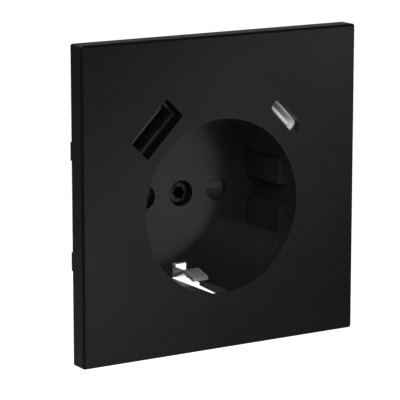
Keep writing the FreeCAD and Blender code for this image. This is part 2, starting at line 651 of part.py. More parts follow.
def contact_lid():
    half = LEG_OUTER - 0.6
    lid = box(-half, half, LID_FRONT, LID_BACK, WELL_Z - BLOCK_BOTTOM, WELL_Z + BLOCK_TOP)
    corners = [box(side * half if side < 0 else BLOCK_HALF_WIDTH, -BLOCK_HALF_WIDTH if side < 0 else half,
                   LID_FRONT - 1, LID_BACK + 1, WELL_Z - BLOCK_BOTTOM - 1, WELL_Z - LEG_WIDTH / 2)
               for side in (-1, 1)]
    for corner in corners:
        lid = lid.cut(corner)
    for side in (-1, 1):
        lid = lid.cut(rod(side * PIN_X, WELL_Z, PIN_HOLE_DIAMETER / 2, LID_FRONT - 1, LID_BACK + 1))
        lid = lid.cut(rod(side * frame_screw_x(), WELL_Z, 1.15, LID_FRONT - 1, LID_BACK + 1))
    lid = lid.cut(rod(0, WELL_Z, COVER_SCREW_DIAMETER / 2 + SCREW_CLEARANCE, LID_FRONT - 1, LID_BACK + 1))
    lid = lid.cut(earth_tab(0.15))
    for x, z in base_screw_places():
        lid = lid.cut(rod(x, z, 1.1, LID_FRONT - 1, LID_BACK + 1))
    return lid


def base_screws():
    screws = []
    for x, z in base_screw_places():
        head = rod(x, z, 1.9, LID_FRONT - 0.8, LID_FRONT)
        head = head.cut(cross_recess(x, z, 2.2, 0.5, LID_FRONT - 0.8))
        screws.append(union([head, rod(x, z, 1.0, LID_FRONT, LID_BACK + 5.5)]))
    return Part.makeCompound(screws)


def pole_contact():
    """The right-hand pole: two spring leaves round the plug's pin, the outer one running down to the terminal."""
    gap = PIN_DIAMETER / 2 - CONTACT_GRIP
    front = LID_BACK + 0.3
    back = CHAMBER_BACK - 1.2
    low = WELL_Z - CONTACT_HEIGHT / 2
    high = WELL_Z + CONTACT_HEIGHT / 2
    inner = box(PIN_X - gap - CONTACT_THICKNESS, PIN_X - gap, front, back, low, high)
    outer = box(PIN_X + gap, PIN_X + gap + CONTACT_THICKNESS, front, back, WELL_Z - BLOCK_BOTTOM + BLOCK_WALL + 0.5,
                high)
    web = box(PIN_X - gap - CONTACT_THICKNESS, PIN_X + gap + CONTACT_THICKNESS, front + 3, back,
              low - CONTACT_THICKNESS, low)
    flare = polygon_along_z([(PIN_X + gap, front), (PIN_X + gap + 0.5, front), (PIN_X + gap, front + 1.5)], low, high)
    flare_inner = polygon_along_z([(PIN_X - gap, front), (PIN_X - gap - 0.5, front), (PIN_X - gap, front + 1.5)],
                                  low, high)
    return union([inner, outer, web]).cut(flare).cut(flare_inner)


def earth_tab(grow):
    """The part of the earth strap that runs back through the lid to the earth terminal."""
    return box(EARTH_TAB_X - grow, EARTH_TAB_X + CONTACT_THICKNESS + grow, STRAP_BACK - 0.4, CHAMBER_BACK - 1.2,
               WELL_Z - CLAMP_MIDDLE - 5.5 - grow, WELL_Z - CLAMP_MIDDLE + 4.6 + grow)


def earth_strap():
    """The strap across the block: two legs into the well, arms to the frame's feet, a tab to the terminal."""
    half = STRAP_WIDTH / 2
    pieces = [box(-half, half, STRAP_FRONT, STRAP_BACK, WELL_Z - EARTH_LEG - STRAP_THICKNESS,
                  WELL_Z + EARTH_LEG + STRAP_THICKNESS)]
    tip = FRONT + EARTH_TIP
    nose = FRONT + (EARTH_TIP + WELL_DEPTH) / 2
    leg = strip([(STRAP_BACK, EARTH_LEG), (FLOOR, EARTH_LEG), (nose, EARTH_NOSE), (tip, EARTH_LEG - 0.6)],
                -STRAP_THICKNESS)
    for sign in (-1, 1):
        pieces.append(polygon_along_x([(y, WELL_Z + sign * z) for y, z in leg], -half, half))
    foot = LEG_OUTER - FOOT_LENGTH
    pieces.append(box(-foot, foot, STRAP_FRONT, STRAP_BACK, WELL_Z + EARTH_ARM[0], WELL_Z + EARTH_ARM[1]))
    bridge = box(half - 0.2, EARTH_TAB_X + CONTACT_THICKNESS, STRAP_FRONT, STRAP_BACK,
                 WELL_Z - CLAMP_MIDDLE - 5.5, WELL_Z - CLAMP_MIDDLE + 4.6)
    strap = union(pieces + [bridge, earth_tab(0)])
    strap = strap.cut(rod(0, WELL_Z, COVER_SCREW_DIAMETER / 2 + SCREW_CLEARANCE, STRAP_FRONT - 1, STRAP_BACK + 1))
    return strap


def clamp_springs(pole):
    """Two bent leaf springs that press the wires against the pole's bar."""
    if pole == "neutral":
        return mirrored(clamp_springs("line"))
    wall = PIN_X - 3.9 if pole == "line" else -(PIN_X - 3.9 - BLOCK_WALL)
    bar = PIN_X + PIN_DIAMETER / 2 - CONTACT_GRIP if pole == "line" else EARTH_TAB_X
    front = LID_BACK + 0.4
    tail = CHAMBER_BACK - RELEASE_INSIDE - RELEASE_TRAVEL - 0.15
    outline = strip([(bar - 0.2, front + 1.6), (wall + 0.8, front + 0.2), (wall + 0.5, front + 4.6),
                     (bar - 0.35, tail)], -CLAMP_THICKNESS)
    return Part.makeCompound([polygon_along_z(outline, z - CLAMP_WIDTH / 2, z + CLAMP_WIDTH / 2)
                              for z in clamp_heights()])


def release_button(pole):
    """A button that is pushed in from behind to open a pole's clamps; its flange keeps it in the base."""
    stem = release_shape(pole, 0)
    rear = [e for e in stem.Edges if e.BoundBox.YMin > BLOCK_BACK + RELEASE_PROUD - 0.01]
    stem = stem.makeFillet(0.4, rear)
    x = pole_x(pole)
    z = WELL_Z - CLAMP_MIDDLE
    flange = box(x - RELEASE_WIDTH / 2, x + RELEASE_WIDTH / 2, CHAMBER_BACK - RELEASE_INSIDE, CHAMBER_BACK - 0.1,
                 z - RELEASE_FLANGE / 2, z + RELEASE_FLANGE / 2)
    return stem.fuse(flange).removeSplitter()


# ---- USB charger -------------------------------------------------------------------------------
def charger_arch(y0, y1, inset, inner_radius):
    """The space above the well inside the wall box, between the well and the box."""
    outer = rod(0, 0, CHARGER_RADIUS - inset, y0, y1)
    outer = outer.cut(rod(0, WELL_Z, inner_radius + inset, y0 - 1, y1 + 1))
    outer = outer.cut(box(-EARTH_NOTCH, EARTH_NOTCH, y0 - 1, y1 + 1, 0, EARTH_NOTCH_TOP + 2))
    half = CHARGER_HALF_WIDTH - inset
    return outer.common(box(-half, half, y0, y1, CHARGER_BOTTOM + inset, CHARGER_TOP - inset))


def charger_screw_places():
    return ((-CHARGER_SCREW_X, CHARGER_SCREW_Z), (CHARGER_SCREW_X, CHARGER_SCREW_Z))


def usb_holder():
    """The moulding behind the frame that carries both ports and the board."""
    block = charger_arch(-FRAME_RECESS, HOLDER_BACK, 0, WELL_RADIUS + WELL_WALL_FRONT + 0.3)
    a_size = (USB_A_MOUTH[0] + 2 * SHELL_WALL + 0.3, USB_A_MOUTH[1] + 2 * SHELL_WALL + 0.3)
    c_size = (USB_C_MOUTH[0] + 2 * SHELL_WALL + 0.3, USB_C_MOUTH[1] + 2 * SHELL_WALL + 0.3)
    pocket = usb_a_shape(*a_size, 0.5, -1, HOLDER_BACK + 1)
    toward_well = pocket.copy()
    toward_well.translate(FreeCAD.Vector(2, 0, -2))
    block = block.cut(pocket).cut(toward_well)
    block = block.cut(usb_c_shape(*c_size, 1.2, -1, HOLDER_BACK + 1))
    block = block.cut(usb_a_shape(USB_A_SLOT[0] + 2 * CHIMNEY_WALL + 1, USB_A_SLOT[1] + 2 * CHIMNEY_WALL + 1, 1.0,
                                  -1, 0.6))
    for x, z in charger_screw_places():
        block = block.cut(rod(x, z, CHARGER_SCREW_DIAMETER / 2 + 0.1, -1, HOLDER_BACK + 1))
    return block


def usb_board():
    board = charger_arch(HOLDER_BACK, BOARD_BACK, 0.2, GUIDE_RADIUS + 2.2)
    for x, z in charger_screw_places():
        board = board.cut(rod(x, z, CHARGER_SCREW_DIAMETER / 2 + 0.1, HOLDER_BACK - 1, BOARD_BACK + 1))
    return board


def usb_shell(kind):
    """The steel shell of a port, open to the front, closed by its insulator at the back."""
    if kind == "a":
        shape, mouth, corner, front = usb_a_shape, USB_A_MOUTH, 0.5, FRONT + USB_A_CHIMNEY + PORT_GAP
    else:
        shape, mouth, corner, front = usb_c_shape, USB_C_MOUTH, 1.2, FRONT + COVER_FACE + PORT_GAP
    outer = shape(mouth[0] + 2 * SHELL_WALL, mouth[1] + 2 * SHELL_WALL, corner, front, HOLDER_BACK - 0.05)
    return outer.cut(shape(mouth[0], mouth[1], max(corner - SHELL_WALL, 0.2), front - 1, HOLDER_BACK + 1))


def usb_insulator(kind):
    """The plastic base of a port and the tongue that carries its contacts."""
    if kind == "a":
        shape, mouth, front, tongue = usb_a_shape, USB_A_MOUTH, FRONT + USB_A_CHIMNEY + PORT_GAP, (10.6, 1.84)
        shift = USB_A_MOUTH[1] / 2 - 1.84 / 2 - 0.75
    else:
        shape, mouth, front, tongue = usb_c_shape, USB_C_MOUTH, FRONT + COVER_FACE + PORT_GAP, (6.7, 0.7)
        shift = 0.0
    depth = 9.0 if kind == "a" else 6.6
    base = shape(mouth[0] - 0.06, mouth[1] - 0.06, 0.3 if kind == "a" else 0.95, front + depth, HOLDER_BACK - 0.05)
    blade = shape(tongue[0], tongue[1], 0.15, front + 0.6, front + depth + 0.1)
    turn = math.radians(PORT_TURN)
    blade.translate(FreeCAD.Vector(-shift * math.sin(turn), 0, shift * math.cos(turn)))
    return union([base, blade])


def usb_contacts(kind):
    """The gilt contacts on the tongue."""
    turn = math.radians(PORT_TURN)
    pieces = []
    if kind == "a":
        front = FRONT + USB_A_CHIMNEY + PORT_GAP
        surface = USB_A_MOUTH[1] / 2 - 1.84 - 0.75
        for along in (-3.5, -1.0, 1.0, 3.5):
            bar = box(along - 0.45, along + 0.45, front + 1.2, front + 8.9, surface - 0.12, surface)
            bar.rotate(FreeCAD.Vector(), FreeCAD.Vector(0, 1, 0), -PORT_TURN)
            bar.translate(FreeCAD.Vector(-PORT_X, 0, PORT_Z))
            pieces.append(bar)
    else:
        front = FRONT + COVER_FACE + PORT_GAP
        for side in (-1, 1):
            for step in range(-5, 6, 2):
                along = step * 0.5
                low, high = sorted((side * 0.35, side * 0.43))
                bar = box(along - 0.15, along + 0.15, front + 1.2, front + 6.5, low, high)
                bar.rotate(FreeCAD.Vector(), FreeCAD.Vector(0, 1, 0), PORT_TURN)
                bar.translate(FreeCAD.Vector(PORT_X, 0, PORT_Z))
                pieces.append(bar)
    return Part.makeCompound(pieces)


def cap_shape(y0, y1, inset):
    shape = rod(0, 0, CHARGER_RADIUS - CAP_INSET - inset, y0, y1)
    shape = shape.common(box(-CAP_HALF_WIDTH + inset, CAP_HALF_WIDTH - inset, y0, y1, CAP_BOTTOM + inset,
                             CHARGER_TOP - CAP_INSET - inset))
    return shape.cut(box(-EARTH_NOTCH - inset, EARTH_NOTCH + inset, y0 - 1, y1 + 1, 0, EARTH_NOTCH_TOP + inset))


def charger_cap():
    """The moulding behind the board that covers the charger's live parts."""
    outer = cap_shape(BOARD_BACK, CAP_BACK, 0)
    cap = outer.cut(cap_shape(BOARD_BACK - 1, CAP_BACK - CAP_WALL, CAP_WALL))
    for x, z in charger_screw_places():
        cap = cap.fuse(rod(x, z, CHARGER_SCREW_DIAMETER / 2 + 1.1, BOARD_BACK, CAP_BACK))
    for x, z in charger_screw_places():
        cap = cap.cut(rod(x, z, CHARGER_SCREW_DIAMETER / 2 + 0.1, BOARD_BACK - 1, CAP_BACK + 1))
    for side in (-1, 1):
        cap = cap.cut(Part.makeCylinder(LEAD_DIAMETER / 2 + 0.1, 3, FreeCAD.Vector(side * LEAD_X, LEAD_DEPTH,
                                                                                  CAP_BOTTOM - 1),
                                        FreeCAD.Vector(0, 0, 1)))
    return cap.removeSplitter()


def charger_screws():
    """Two long screws from the back of the cap into the support frame."""
    screws = []
    for x, z in charger_screw_places():
        head = rod(x, z, 1.7, CAP_BACK, CAP_BACK + 1.0)
        shank = rod(x, z, CHARGER_SCREW_DIAMETER / 2 - 0.02, -FRAME_THICKNESS, CAP_BACK)
        screws.append(union([head.cut(cross_recess(x, z, 2.0, 0.6, CAP_BACK + 0.4)), shank]))
    return Part.makeCompound(screws)


def transformer_core():
    """Ferrite round the winding."""
    x, z = TRANSFORMER_PLACE
    width, depth, height = TRANSFORMER_SIZE
    core = box(x, x + width, BOARD_BACK, BOARD_BACK + depth, z, z + height)
    limb = TRANSFORMER_LIMB
    return core.cut(box(x + limb, x + width - limb, BOARD_BACK + limb, BOARD_BACK + depth - limb, z - 1,
                        z + height + 1))


def transformer_winding():
    x, z = TRANSFORMER_PLACE
    width, depth, height = TRANSFORMER_SIZE
    limb = TRANSFORMER_LIMB + 0.05
    return box(x + limb, x + width - limb, BOARD_BACK + limb, BOARD_BACK + depth - limb, z + 0.3, z + height - 0.3)


def can_capacitor(x, z, diameter, length):
    can = rod(x, z, diameter / 2, BOARD_BACK, BOARD_BACK + length)
    far = [e for e in can.Edges if e.BoundBox.YMin > BOARD_BACK + length - 0.01]
    return can.makeFillet(0.3, far)


def controller_chip():
    x, z = CONTROLLER_PLACE
    width, depth, height = CONTROLLER_SIZE
    return box(x - width / 2, x + width / 2, BOARD_BACK, BOARD_BACK + depth, z - height / 2, z + height / 2)


def charger_lead():
    """The right-hand lead: from the top of the pole's contact up into the cap and forward to the board."""
    bottom = WELL_Z + CONTACT_HEIGHT / 2
    radius = LEAD_DIAMETER / 2
    corner = FreeCAD.Vector(LEAD_X, LEAD_DEPTH, LEAD_TOP)
    upright = Part.makeCylinder(radius, LEAD_TOP - bottom, FreeCAD.Vector(LEAD_X, LEAD_DEPTH, bottom),
                                FreeCAD.Vector(0, 0, 1))
    return union([upright, Part.makeSphere(radius, corner), rod(LEAD_X, LEAD_TOP, radius, BOARD_BACK, LEAD_DEPTH)])


def nodes():
    """Every sub-part by its node's name."""
    made = {
        "cover_plate": cover_plate(),
        "socket_well": socket_well(),
        "shutter_slider": shutter_slider(),
        "shutter_guide": shutter_guide(),
        "shutter_spring_left": shutter_spring(-1),
        "shutter_spring_right": shutter_spring(1),
        "cover_screw": cover_screw(),
        "cover_screw_ring": cover_screw_ring(),
        "support_frame": support_frame(),
        "frame_screws": frame_screws(),
        "claw_right": claw(),
        "claw_left": mirrored(claw()),
        "claw_screw_right": claw_screw(),
        "claw_screw_left": mirrored(claw_screw()),
        "claw_nut_right": claw_nut(),
        "claw_nut_left": mirrored(claw_nut()),
        "contact_lid": contact_lid(),
        "contact_base": contact_base(),
        "base_screws": base_screws(),
        "cover_nut": cover_nut(),
        "line_contact": pole_contact(),
        "neutral_contact": mirrored(pole_contact()),
        "earth_strap": earth_strap(),
        "usb_holder": usb_holder(),
        "usb_board": usb_board(),
        "charger_cap": charger_cap(),
        "charger_screws": charger_screws(),
        "transformer_core": transformer_core(),
        "transformer_winding": transformer_winding(),
        "input_capacitor": can_capacitor(*INPUT_CAPACITOR),
        "output_capacitor": can_capacitor(*OUTPUT_CAPACITOR),
        "controller_chip": controller_chip(),
        "line_lead": charger_lead(),
        "neutral_lead": mirrored(charger_lead()),
    }
    for pole in ("line", "neutral", "earth"):
        made[f"{pole}_clamps"] = clamp_springs(pole)
        made[f"{pole}_release"] = release_button(pole)
    for kind in ("a", "c"):
        made[f"usb_{kind}_shell"] = usb_shell(kind)
        made[f"usb_{kind}_insulator"] = usb_insulator(kind)
        made[f"usb_{kind}_contacts"] = usb_contacts(kind)
    return made


def main():
    os.makedirs("parts", exist_ok=True)
    for name, shape in nodes().items():
        print(f"{name:22s} valid {shape.isValid()} solids {len(shape.Solids)} volume {shape.Volume:9.1f} mm3")
        shape.exportStep(f"parts/{name}.step")


main()
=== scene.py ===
# %% [markdown]
# # A flush wall outlet with two USB ports
# This lesson dresses a CAD model of a wall outlet: a matt black cover with a round well for the plug, a
# USB-A port and a USB-C port set at an angle, and behind the cover the steel support frame, the contact
# block and the charger. The CAD shapes are kept wherever they are right, so the first cell only loads
# them and remembers the box they fill. Modelling every part again would be the other way; it is more
# work, and sizes would drift from the CAD.

# %% Load the model
import json
import math

import bmesh
import bpy
from mathutils import Matrix, Vector


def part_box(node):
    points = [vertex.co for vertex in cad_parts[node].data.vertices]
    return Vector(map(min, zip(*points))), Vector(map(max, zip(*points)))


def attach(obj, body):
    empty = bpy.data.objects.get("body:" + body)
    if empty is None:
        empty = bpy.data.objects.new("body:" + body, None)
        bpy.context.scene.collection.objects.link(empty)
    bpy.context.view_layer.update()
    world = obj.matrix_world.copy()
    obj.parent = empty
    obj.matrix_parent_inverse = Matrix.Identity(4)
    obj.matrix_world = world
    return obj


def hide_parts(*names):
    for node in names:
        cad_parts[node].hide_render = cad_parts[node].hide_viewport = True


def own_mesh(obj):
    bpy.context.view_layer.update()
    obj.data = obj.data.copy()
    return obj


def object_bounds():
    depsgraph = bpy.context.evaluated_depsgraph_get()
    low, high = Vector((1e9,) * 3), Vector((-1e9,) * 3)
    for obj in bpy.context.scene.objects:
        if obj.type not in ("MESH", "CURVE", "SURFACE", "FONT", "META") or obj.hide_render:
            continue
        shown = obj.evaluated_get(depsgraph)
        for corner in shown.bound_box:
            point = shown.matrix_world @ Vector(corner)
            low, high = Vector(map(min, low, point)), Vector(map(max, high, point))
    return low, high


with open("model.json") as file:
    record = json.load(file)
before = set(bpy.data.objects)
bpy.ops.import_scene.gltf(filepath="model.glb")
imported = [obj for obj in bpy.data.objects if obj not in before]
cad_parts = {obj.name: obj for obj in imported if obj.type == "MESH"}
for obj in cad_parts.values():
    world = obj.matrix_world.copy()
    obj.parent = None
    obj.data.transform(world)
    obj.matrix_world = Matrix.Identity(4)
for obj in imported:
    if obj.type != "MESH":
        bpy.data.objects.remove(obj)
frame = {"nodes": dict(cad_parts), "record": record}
cad_box = [list(corner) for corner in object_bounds()]
nodes = frame["nodes"]
print(len(nodes), "nodes in", [round((b - a) * 1000, 1) for a, b in zip(*cad_box)], "mm")

# %% [markdown]
# ## Camera
# Small products are shown from far away with a long lens, which keeps parallel edges nearly
# parallel. The camera is placed with angles round a point on the cover's face, so its height and its
# side can be tuned one at a time; typing in a position and rotation would mix them.

# %% Camera
cover_low, cover_high = (Vector(corner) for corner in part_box("cover_plate"))
FACE = cover_low.y
AIM = Vector((-0.005795, FACE, -0.000830))
CAMERA_TURN = math.radians(-31.704)
CAMERA_RISE = math.radians(11.551)
CAMERA_DISTANCE = 0.519358
CAMERA_LENS = 214.8

toward_camera = Vector((math.sin(CAMERA_TURN) * math.cos(CAMERA_RISE),
                        -math.cos(CAMERA_TURN) * math.cos(CAMERA_RISE),
                        math.sin(CAMERA_RISE)))
camera_data = bpy.data.cameras.new("camera")
camera_data.lens = CAMERA_LENS
camera_data.sensor_width = 36.0
camera_data.clip_start = 0.01
camera = bpy.data.objects.new("camera", camera_data)
camera.location = AIM + toward_camera * CAMERA_DISTANCE
camera.rotation_euler = toward_camera.to_track_quat("Z", "Y").to_euler()
bpy.context.collection.objects.link(camera)
bpy.context.scene.camera = camera
print("camera at", [round(v * 1000) for v in camera.location], "mm")

# %% [markdown]
# ## The room
# Matt black plastic shows its form only by what it reflects, so the room round the outlet is kept dim.
# The camera alone sees it white: a Light Path node tells a ray that comes straight from the camera from
# one that has already met the outlet. A room that is bright for every ray would be simpler, but it turns
# the thin top edge of the cover grey and washes out the face.

# %% The room
ROOM_GLOW = 0.15


def seen_and_lit(tree, seen, lit):
    """One brightness for the camera and another for every other ray."""
    path = tree.nodes.new("ShaderNodeLightPath")
    mix = tree.nodes.new("ShaderNodeMix")
    mix.data_type = "RGBA"
    mix.inputs["A"].default_value = (lit, lit, lit, 1)
    mix.inputs["B"].default_value = (seen, seen, seen, 1)
    tree.links.new(path.outputs["Is Camera Ray"], mix.inputs["Factor"])
    return mix.outputs["Result"]


world = bpy.data.worlds.new("studio")
world.use_nodes = True
room = world.node_tree
room.links.new(seen_and_lit(room, 1.0, ROOM_GLOW), room.nodes["Background"].inputs["Color"])
bpy.context.scene.world = world
bpy.context.scene.view_settings.view_transform = "Standard"
print("the room is white to the camera and", ROOM_GLOW, "to everything else")

# %% [markdown]
# ## Soft panels
# Three rectangles of light draw the form. A long narrow strip on the right lies where the face mirrors
# it, and puts a slanting glow across the face and into the well. A wide panel high on the left lights the
# pale parts inside the openings, and one above the back lights the mechanism. Spot lamps would leave
# hard-edged spots on the satin face, so every light here has a size.

# %% Soft panels

def panel_light(name, direction, distance, size, power, turn=0.0, colour=(1.0, 1.0, 1.0)):
    """A soft rectangular light that faces the outlet from a direction, turned about its own axis."""
    data = bpy.data.lights.new(name, "AREA")
    data.shape = "RECTANGLE"
    data.size, data.size_y = size
    data.energy = power
    data.color = colour
    lamp = bpy.data.objects.new(name, data)
    toward = Vector(direction).normalized()
    lamp.location = toward * distance
    facing = toward.to_track_quat("Z", "Y").to_matrix() @ Matrix.Rotation(math.radians(turn), 3, "Z")
    lamp.rotation_euler = facing.to_euler()
    bpy.context.collection.objects.link(lamp)
    return lamp


WARM_GREEN = (0.98, 1.0, 0.90)
panel_light("glow_strip", (0.495, -0.845, -0.175), 0.55, (0.42, 0.04), 0.25, turn=45, colour=WARM_GREEN)
panel_light("wide_panel", (-0.46, -0.68, 0.58), 0.8, (0.5, 0.5), 5.2)
panel_light("rear_panel", (-0.30, 0.50, 0.85), 0.9, (0.7, 0.7), 4.0)

# %% [markdown]
# ## The floor
# The outlet floats well above a plain pale floor, as a product does on a seamless sweep, so that no
# shadow touches it. The floor is one big square. It glows evenly for the camera and stays dark for every
# other ray, so that it doesn't light the cover from below.

# %% The floor
FLOOR_DROP = 0.25
FLOOR_REACH = 6.0
floor_shape = bmesh.new()
bmesh.ops.create_grid(floor_shape, x_segments=1, y_segments=1, size=FLOOR_REACH,
                      matrix=Matrix.Translation((0, 0, cad_box[0][2] - FLOOR_DROP)))
floor_mesh = bpy.data.meshes.new("floor")
floor_shape.to_mesh(floor_mesh)
floor_shape.free()
floor = bpy.data.objects.new("floor", floor_mesh)
bpy.context.collection.objects.link(floor)
floor_finish = bpy.data.materials.new("floor_white")
floor_finish.use_nodes = True
floor_surface = floor_finish.node_tree.nodes["Principled BSDF"]
floor_surface.inputs["Base Color"].default_value = (0.85, 0.85, 0.85, 1)
floor_surface.inputs["Roughness"].default_value = 0.95
floor_surface.inputs["Specular IOR Level"].default_value = 0.0
floor_finish.node_tree.links.new(seen_and_lit(floor_finish.node_tree, 0.9, 0.0),
                                 floor_surface.inputs["Emission Color"])
floor_surface.inputs["Emission Strength"].default_value = 1.0
floor_mesh.materials.append(floor_finish)
print("the floor lies", round(FLOOR_DROP * 1000), "mm below the cover")

# %% [markdown]
# ## Small tools for finishes
# Every finish below is a little tree of nodes, and the same few steps come back in all of them: a noise,
# a stretch of its range, one sum, and the coordinates they start from. Each step is a short function that
# adds one node and returns its output. Object coordinates are used throughout: they are in metres on the
# part itself, so a grain keeps its real size on a large plate and on a small button.

# %% Small tools for finishes
def new_group(name, inputs, outputs):
    """An empty shader group with float inputs (with defaults) and float outputs."""
    group = bpy.data.node_groups.new(name, "ShaderNodeTree")
    for title, value in inputs.items():
        socket = group.interface.new_socket(title, in_out="INPUT", socket_type="NodeSocketFloat")
        socket.default_value = value
    for title in outputs:
        group.interface.new_socket(title, in_out="OUTPUT", socket_type="NodeSocketFloat")
    start, end = group.nodes.new("NodeGroupInput"), group.nodes.new("NodeGroupOutput")
    return group, start, end


def noise(tree, place, scale, detail=2.0, roughness=0.5):
    """A noise texture; scale is a number or the socket that gives it."""
    made = tree.nodes.new("ShaderNodeTexNoise")
    made.inputs["Detail"].default_value = detail
    made.inputs["Roughness"].default_value = roughness
    if isinstance(scale, (int, float)):
        made.inputs["Scale"].default_value = scale
    else:
        tree.links.new(scale, made.inputs["Scale"])
    tree.links.new(place, made.inputs["Vector"])
    return made.outputs["Fac"]


def spread(tree, value, low, high, new_low=0.0, new_high=1.0):
    """Stretch low..high of a value to new_low..new_high, held at both ends."""
    made = tree.nodes.new("ShaderNodeMapRange")
    made.interpolation_type = "SMOOTHSTEP"
    made.inputs["From Min"].default_value = low
    made.inputs["From Max"].default_value = high
    made.inputs["To Min"].default_value = new_low
    made.inputs["To Max"].default_value = new_high
    tree.links.new(value, made.inputs["Value"])
    return made.outputs["Result"]


def maths(tree, operation, first, second):
    """One math node; first is a socket, second a number or a socket."""
    made = tree.nodes.new("ShaderNodeMath")
    made.operation = operation
    tree.links.new(first, made.inputs[0])
    if isinstance(second, (int, float)):
        made.inputs[1].default_value = second
    else:
        tree.links.new(second, made.inputs[1])
    return made.outputs["Value"]


def own_coordinates(tree):
    """The part's own coordinates, in metres."""
    return tree.nodes.new("ShaderNodeTexCoord").outputs["Object"]


print("five steps for building finishes")

# %% [markdown]
# ## The skin of a moulding
# Every plastic part of the outlet comes out of a steel mould, and copies the mould's spark-eroded skin:
# a very fine pebble that you feel more than see, with broad, faint patches where the melt cooled faster.
# Both come from noise on the part's own coordinates, so they keep their size on small and large parts.
# One node group makes them for all the plastics; each finish gives it its own sizes. A painted texture
# could do the same, but it would stretch on the well's wall.

# %% The moulded skin group
moulded_skin, skin_in, skin_out = new_group(
    "moulded_skin", {"Grain": 3500.0, "Patch": 60.0}, ["Height", "Patches", "Dust"])
place = own_coordinates(moulded_skin)
pebble = noise(moulded_skin, place, skin_in.outputs["Grain"], 3.0, 0.6)
patches = noise(moulded_skin, place, skin_in.outputs["Patch"], 2.0)
dust = spread(moulded_skin, noise(moulded_skin, place, 900.0, 4.0, 0.75), 0.70, 0.80)
moulded_skin.links.new(pebble, skin_out.inputs["Height"])
moulded_skin.links.new(spread(moulded_skin, patches, 0.1, 0.9), skin_out.inputs["Patches"])
moulded_skin.links.new(dust, skin_out.inputs["Dust"])
print("moulded_skin has", len(moulded_skin.nodes), "nodes")

# %% [markdown]
# ## Rubbed edges
# Hands and cleaning cloths polish a square plate along its border first: it gets smoother there, not
# paler. The mask finds how far a point is from the middle, along whichever of the two directions is
# longer, and breaks the band up with noise. Painting the wear by hand would give the same look, but only
# on this one size of plate.

# %% The rubbed border group
rubbed_border, rub_in, rub_out = new_group("rubbed_border", {"Half Width": 0.035, "Band": 0.0012}, ["Rub"])
place = own_coordinates(rubbed_border)
split = rubbed_border.nodes.new("ShaderNodeSeparateXYZ")
rubbed_border.links.new(place, split.inputs["Vector"])
across = maths(rubbed_border, "ABSOLUTE", split.outputs["X"], 0.0)
upright = maths(rubbed_border, "ABSOLUTE", split.outputs["Z"], 0.0)
outward = maths(rubbed_border, "MAXIMUM", across, upright)
gap = maths(rubbed_border, "SUBTRACT", rub_in.outputs["Half Width"], outward)
share = maths(rubbed_border, "DIVIDE", gap, rub_in.outputs["Band"])
worn = spread(rubbed_border, share, 0.0, 1.0, 1.0, 0.0)
uneven = spread(rubbed_border, noise(rubbed_border, place, 260.0, 3.0), 0.35, 0.65)
rubbed_border.links.new(maths(rubbed_border, "MULTIPLY", worn, uneven), rub_out.inputs["Rub"])
print("rubbed_border has", len(rubbed_border.nodes), "nodes")

# %% [markdown]
# ## From nodes to a finish
# A finish starts as a new material with its surface shader. The groups made above are placed in it and
# given sizes, their masks blend two or three close colours, and their heights become bumps. A moulded
# plastic is then one call with its colours, its roughness and the size of its grain. Mixing two whole
# shaders by a mask would also work, but one shader with varied inputs is easier to read and to export.

# %% From nodes to a finish
def start_finish(name, specular=0.5, metallic=0.0):
    """A new material; returns it with its tree and its surface shader."""
    made = bpy.data.materials.new(name + "_finish")
    made.use_nodes = True
    surface = made.node_tree.nodes["Principled BSDF"]
    surface.inputs["Specular IOR Level"].default_value = specular
    surface.inputs["Metallic"].default_value = metallic
    return made, made.node_tree, surface


def place_group(tree, group, **values):
    """A shader group in a tree, with values for its inputs; returns its outputs."""
    made = tree.nodes.new("ShaderNodeGroup")
    made.node_tree = group
    for title, value in values.items():
        made.inputs[title.replace("_", " ")].default_value = value
    return made.outputs


def blend_colours(tree, mask, first, second):
    """Colour that goes from first to second with a mask; each is a triple or a colour socket."""
    mix = tree.nodes.new("ShaderNodeMix")
    mix.data_type = "RGBA"
    tree.links.new(mask, mix.inputs["Factor"])
    for socket, colour in (("A", first), ("B", second)):
        if isinstance(colour, tuple):
            mix.inputs[socket].default_value = (*colour, 1)
        else:
            tree.links.new(colour, mix.inputs[socket])
    return mix.outputs["Result"]


def raise_bumps(tree, surface, height, distance):
    """Bumps of a given height, in metres, on a surface shader."""
    bump = tree.nodes.new("ShaderNodeBump")
    bump.inputs["Distance"].default_value = distance
    bump.inputs["Strength"].default_value = 1.0
    tree.links.new(height, bump.inputs["Height"])
    tree.links.new(bump.outputs["Normal"], surface.inputs["Normal"])


def moulded(name, deep, pale, rough, grain=3500.0, patch=60.0, bump=0.000004, specular=0.5, dusty=None):
    """A moulded plastic: two close colours, a range of roughness and a pebbled skin."""
    made, tree, surface = start_finish(name, specular)
    skin = place_group(tree, moulded_skin, Grain=grain, Patch=patch)
    colour = blend_colours(tree, skin["Patches"], deep, pale)
    if dusty:
        colour = blend_colours(tree, skin["Dust"], colour, dusty)
    tree.links.new(colour, surface.inputs["Base Color"])
    tree.links.new(spread(tree, skin["Patches"], 0.0, 1.0, *rough), surface.inputs["Roughness"])
    raise_bumps(tree, surface, skin["Height"], bump)
    return made


def dress(finish, *names):
    """Give a finish to every material slot of the named CAD parts."""
    for name in names:
        for slot in nodes[name].material_slots:
            slot.material = finish
    print(finish.name, "on", ", ".join(names))


print("a moulded plastic is one call now")

# %% [markdown]
# ## Black plastics
# The cover is one moulding in two finishes: a fine satin skin on the square face, and a smoother, slightly
# glossier well, so that a plug slides in. Both are a very dark warm grey, never pure black, because pure
# black would lose its shape. The colours of each finish differ by only a little; most of what the eye
# reads is the roughness and the tiny bumps. Both finishes need to know where the well is, so that comes
# first, measured from the CAD box of the well.

